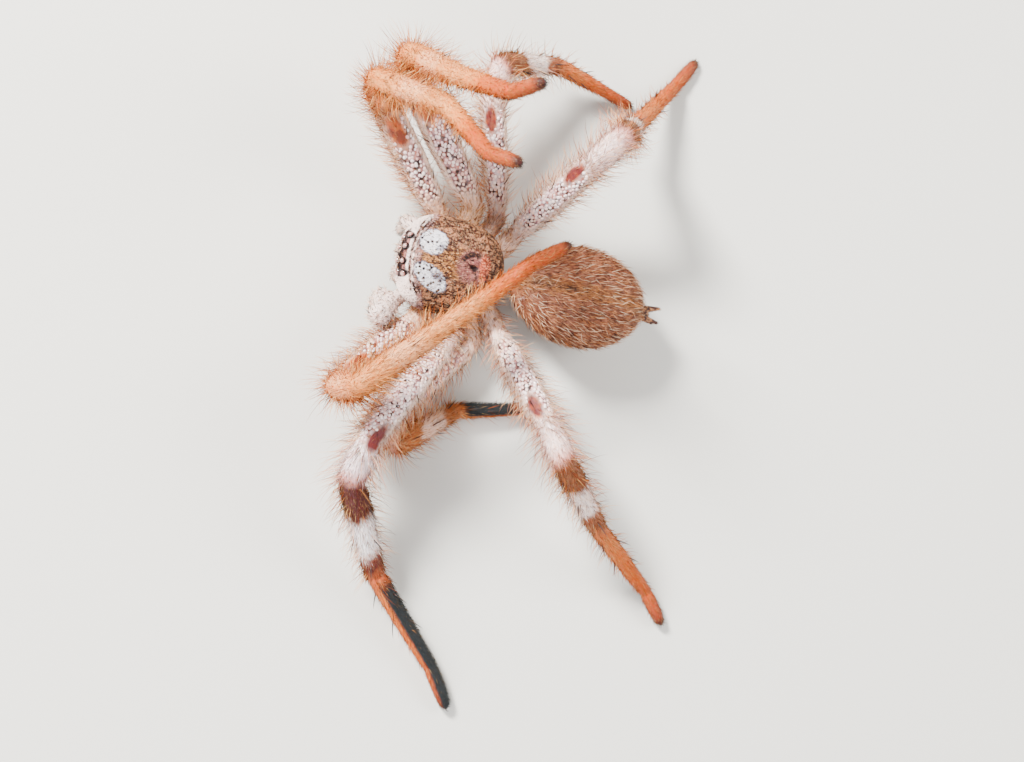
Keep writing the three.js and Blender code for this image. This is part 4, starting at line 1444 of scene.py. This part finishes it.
# %% Body markings
BODY_COLOURS = (             # mask, how much noise frays it, and its colour, in the order they are laid on
    ("Gold", 0.55, "B46E2A"), ("Rosy", 0.55, "A4605C"), ("Orange", 0.55, "DC6240"), ("Cream", 0.55, "FFE9E2"),
    ("Pale", 1.1, "6E6E84"), ("Dark", 0.55, "1E070A"))


def body_colour(paint, given):
    fray = paint.minus(paint.noise(2400, 4, 0.65), 0.5)
    flecks = paint.noise(1600, squeeze=(1.25, 0.58, 1.0))
    mottle = paint.step(paint.math("ABSOLUTE", paint.minus(flecks, 0.49)), 0.035, 0.085)
    dots = paint.node("TexVoronoi", {"Vector": paint.own_place(), "Scale": 2050}).outputs["Distance"]
    colour = paint.mix(paint.step(paint.noise(700), 0.3, 0.7), "7C3F2A", "B06A48")
    for name, frayed, digits in BODY_COLOURS:
        if name == "Cream":
            deep = paint.mix(1, colour, "4A2A1E", "MULTIPLY")
            light = paint.mix(0.16, colour, "F6C890")
            colour = paint.mix(given["Smooth"], paint.mix(mottle, deep, light), colour)
        mask = paint.math("MULTIPLY_ADD", fray, frayed, given[name])
        colour = paint.mix(paint.step(mask, 0.28, 0.62), colour, digits)
        if name == "Pale":
            colour = paint.mix(paint.step(mask, 0.5, 0.85), colour, "F0EEF6")
            dot = paint.times(paint.step(dots, 0.36, 0.27), paint.step(mask, 0.4, 0.6))
            colour = paint.mix(dot, colour, "1E1822")
    return colour


body_markings = new_group("body_markings", MASKS, body_colour)


def body_skin_colour(paint):
    colour = paint.markings(body_markings)
    return paint.mix(paint.step(paint.noise(5200, 4), 0.3, 0.8), paint.mix(0.35, colour, "3A1F1C"), colour)


def body_hair_colour(paint):
    shade = paint.read("shade")
    marked = paint.minus(1, paint.read("dark"))
    pale_hair = paint.times(paint.step(shade, 0.6, 0.95), paint.times(marked, 0.24))
    bright = paint.math("MAXIMUM", paint.read("cream"), paint.read("pale"))
    dark_hair = paint.times(paint.step(shade, 0.26, 0.12), paint.minus(1, paint.times(bright, 0.8)))
    colour = paint.mix(pale_hair, paint.markings(body_markings), "F2CFA6")
    colour = paint.mix(paint.times(dark_hair, 0.85), colour, "2E1612")
    warm = paint.ramp(shade, ((0, "6A3323"), (0.3, "D98C50"), (1, "F2D9BC")))
    colour = paint.mix(paint.times(paint.read("long"), 0.6), colour, warm)
    streak = paint.ramp(shade, ((0, "1C0F10"), (0.7, "4A2A22"), (1, "7A4A30")))
    return paint.mix(paint.read("streak"), colour, streak)


body_skin_finish = new_material("body_skin", 0.5, 0.4, body_skin_colour, bump=(5200, 4, 0.00008))
body_hair_finish = new_material("body_hair", 0.55, 0.2, body_hair_colour)

# %% [markdown]
# The small hard parts: pearly granules, black spines and claws, red-brown fangs, and the lenses, whose gloss
# comes from a clear coat over a ground that is dark brown behind and pale pinkish brown in front, partly
# their own colour and partly a painted reflection.

# %% Hard finishes
def granule_colour(paint):
    shade = paint.read("shade")
    colour = paint.ramp(shade, ((0, "E0AAA2"), (0.25, "F2D2CC"), (0.7, "FCF0EE"), (1, "F4CACE")))
    base = paint.step(paint.read("stage"), 1.55, 1.05)
    return paint.mix(paint.times(base, 0.6), colour, "E6B48A")


def glossy_finish(name, dark, light, scale, roughness, gloss=0.8):
    def patchy(paint):
        return paint.mix(paint.step(paint.noise(scale), 0.35, 0.7), dark, light)
    return new_material(name, roughness, 0.5 * gloss, patchy, {"Coat Weight": gloss, "Coat Roughness": 0.08})


granule_finish = new_material("granule", 0.38, 0.5, granule_colour, {"Coat Weight": 0.2})
spine_finish = new_material("spine", 0.35, 0.5, lambda paint: paint.ramp(
    paint.read("reach"), ((0, "5A2A1E"), (0.25, "241512"), (1, "100C0C"))))
# Lens colour by how far along its axis: dark brown behind, pale pinkish brown in front, partly a painted
# reflection
lens_finish = new_material("eye_lens", 0.1, 0.6, lambda paint: paint.ramp(
    paint.read("dome"), ((0, "060303"), (0.45, "1A0A0A"), (0.7, "8A5850"), (1, "C89C92"))),
    {"Coat Weight": 1.0, "Coat Roughness": 0.04})
rear_ring_finish = glossy_finish("eye_ring", "050303", "0E0606", 3000, 0.6, 0.12)
front_ring_finish = glossy_finish("front_eye_ring", "8A5F50", "D2B29C", 3000, 0.55, 0.3)
fang_finish = glossy_finish("fang_gloss", "200C0A", "5A2014", 900, 0.22)
claw_finish = glossy_finish("claw_gloss", "140E0E", "2E1A16", 3000, 0.3)

# %% [markdown]
# Last, every piece rides on the body, stands for its solids and takes its finish.

# %% Hand over the pieces
def hand_over(piece, finish, slot, *nodes):
    piece.data.materials.append(finish)
    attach(piece, "root")
    if nodes:
        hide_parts(*nodes)


for leg in legs:
    parts = [f"{leg.name}_{part}" for part in ("coxa", "femur", "patella", "tibia", "foot")]
    hand_over(leg_skins[leg.name], leg_skin_finish, "furred_leg", *parts)
    hand_over(leg_coats[leg.name], leg_hair_finish, "furred_leg")
    hand_over(leg_granules[leg.name], granule_finish, "spotted_leg")
    hand_over(leg_spines[leg.name], spine_finish, "fang")
    hand_over(claws[leg.name], claw_finish, "foot")
for node, lens in lenses.items():
    hand_over(lens, lens_finish, "eye_lens", node)
hand_over(rear_rings, rear_ring_finish, "carapace")
hand_over(front_rings, front_ring_finish, "carapace")
for side_name in ("left", "right"):
    hand_over(fangs[side_name], fang_finish, "fang", "fang_" + side_name)
    hand_over(jaws[side_name], body_skin_finish, "flesh", "chelicera_" + side_name)
    hand_over(palps[side_name], body_skin_finish, "flesh", "palp_" + side_name)
hand_over(breastplate, body_skin_finish, "flesh", "sternum")
hand_over(carapace, body_skin_finish, "carapace", "carapace")
hand_over(abdomen, body_skin_finish, "abdomen", "abdomen")
hand_over(spinnerets, body_skin_finish, "flesh", "spinnerets")
for name, piece in body_coats.items():
    hand_over(piece, body_hair_finish, name if name in ("carapace", "abdomen") else "flesh")

visible = [item for item in bpy.data.objects if item.type == "MESH" and not item.hide_render]
print("triangles:", sum(len(item.data.polygons) for item in visible))
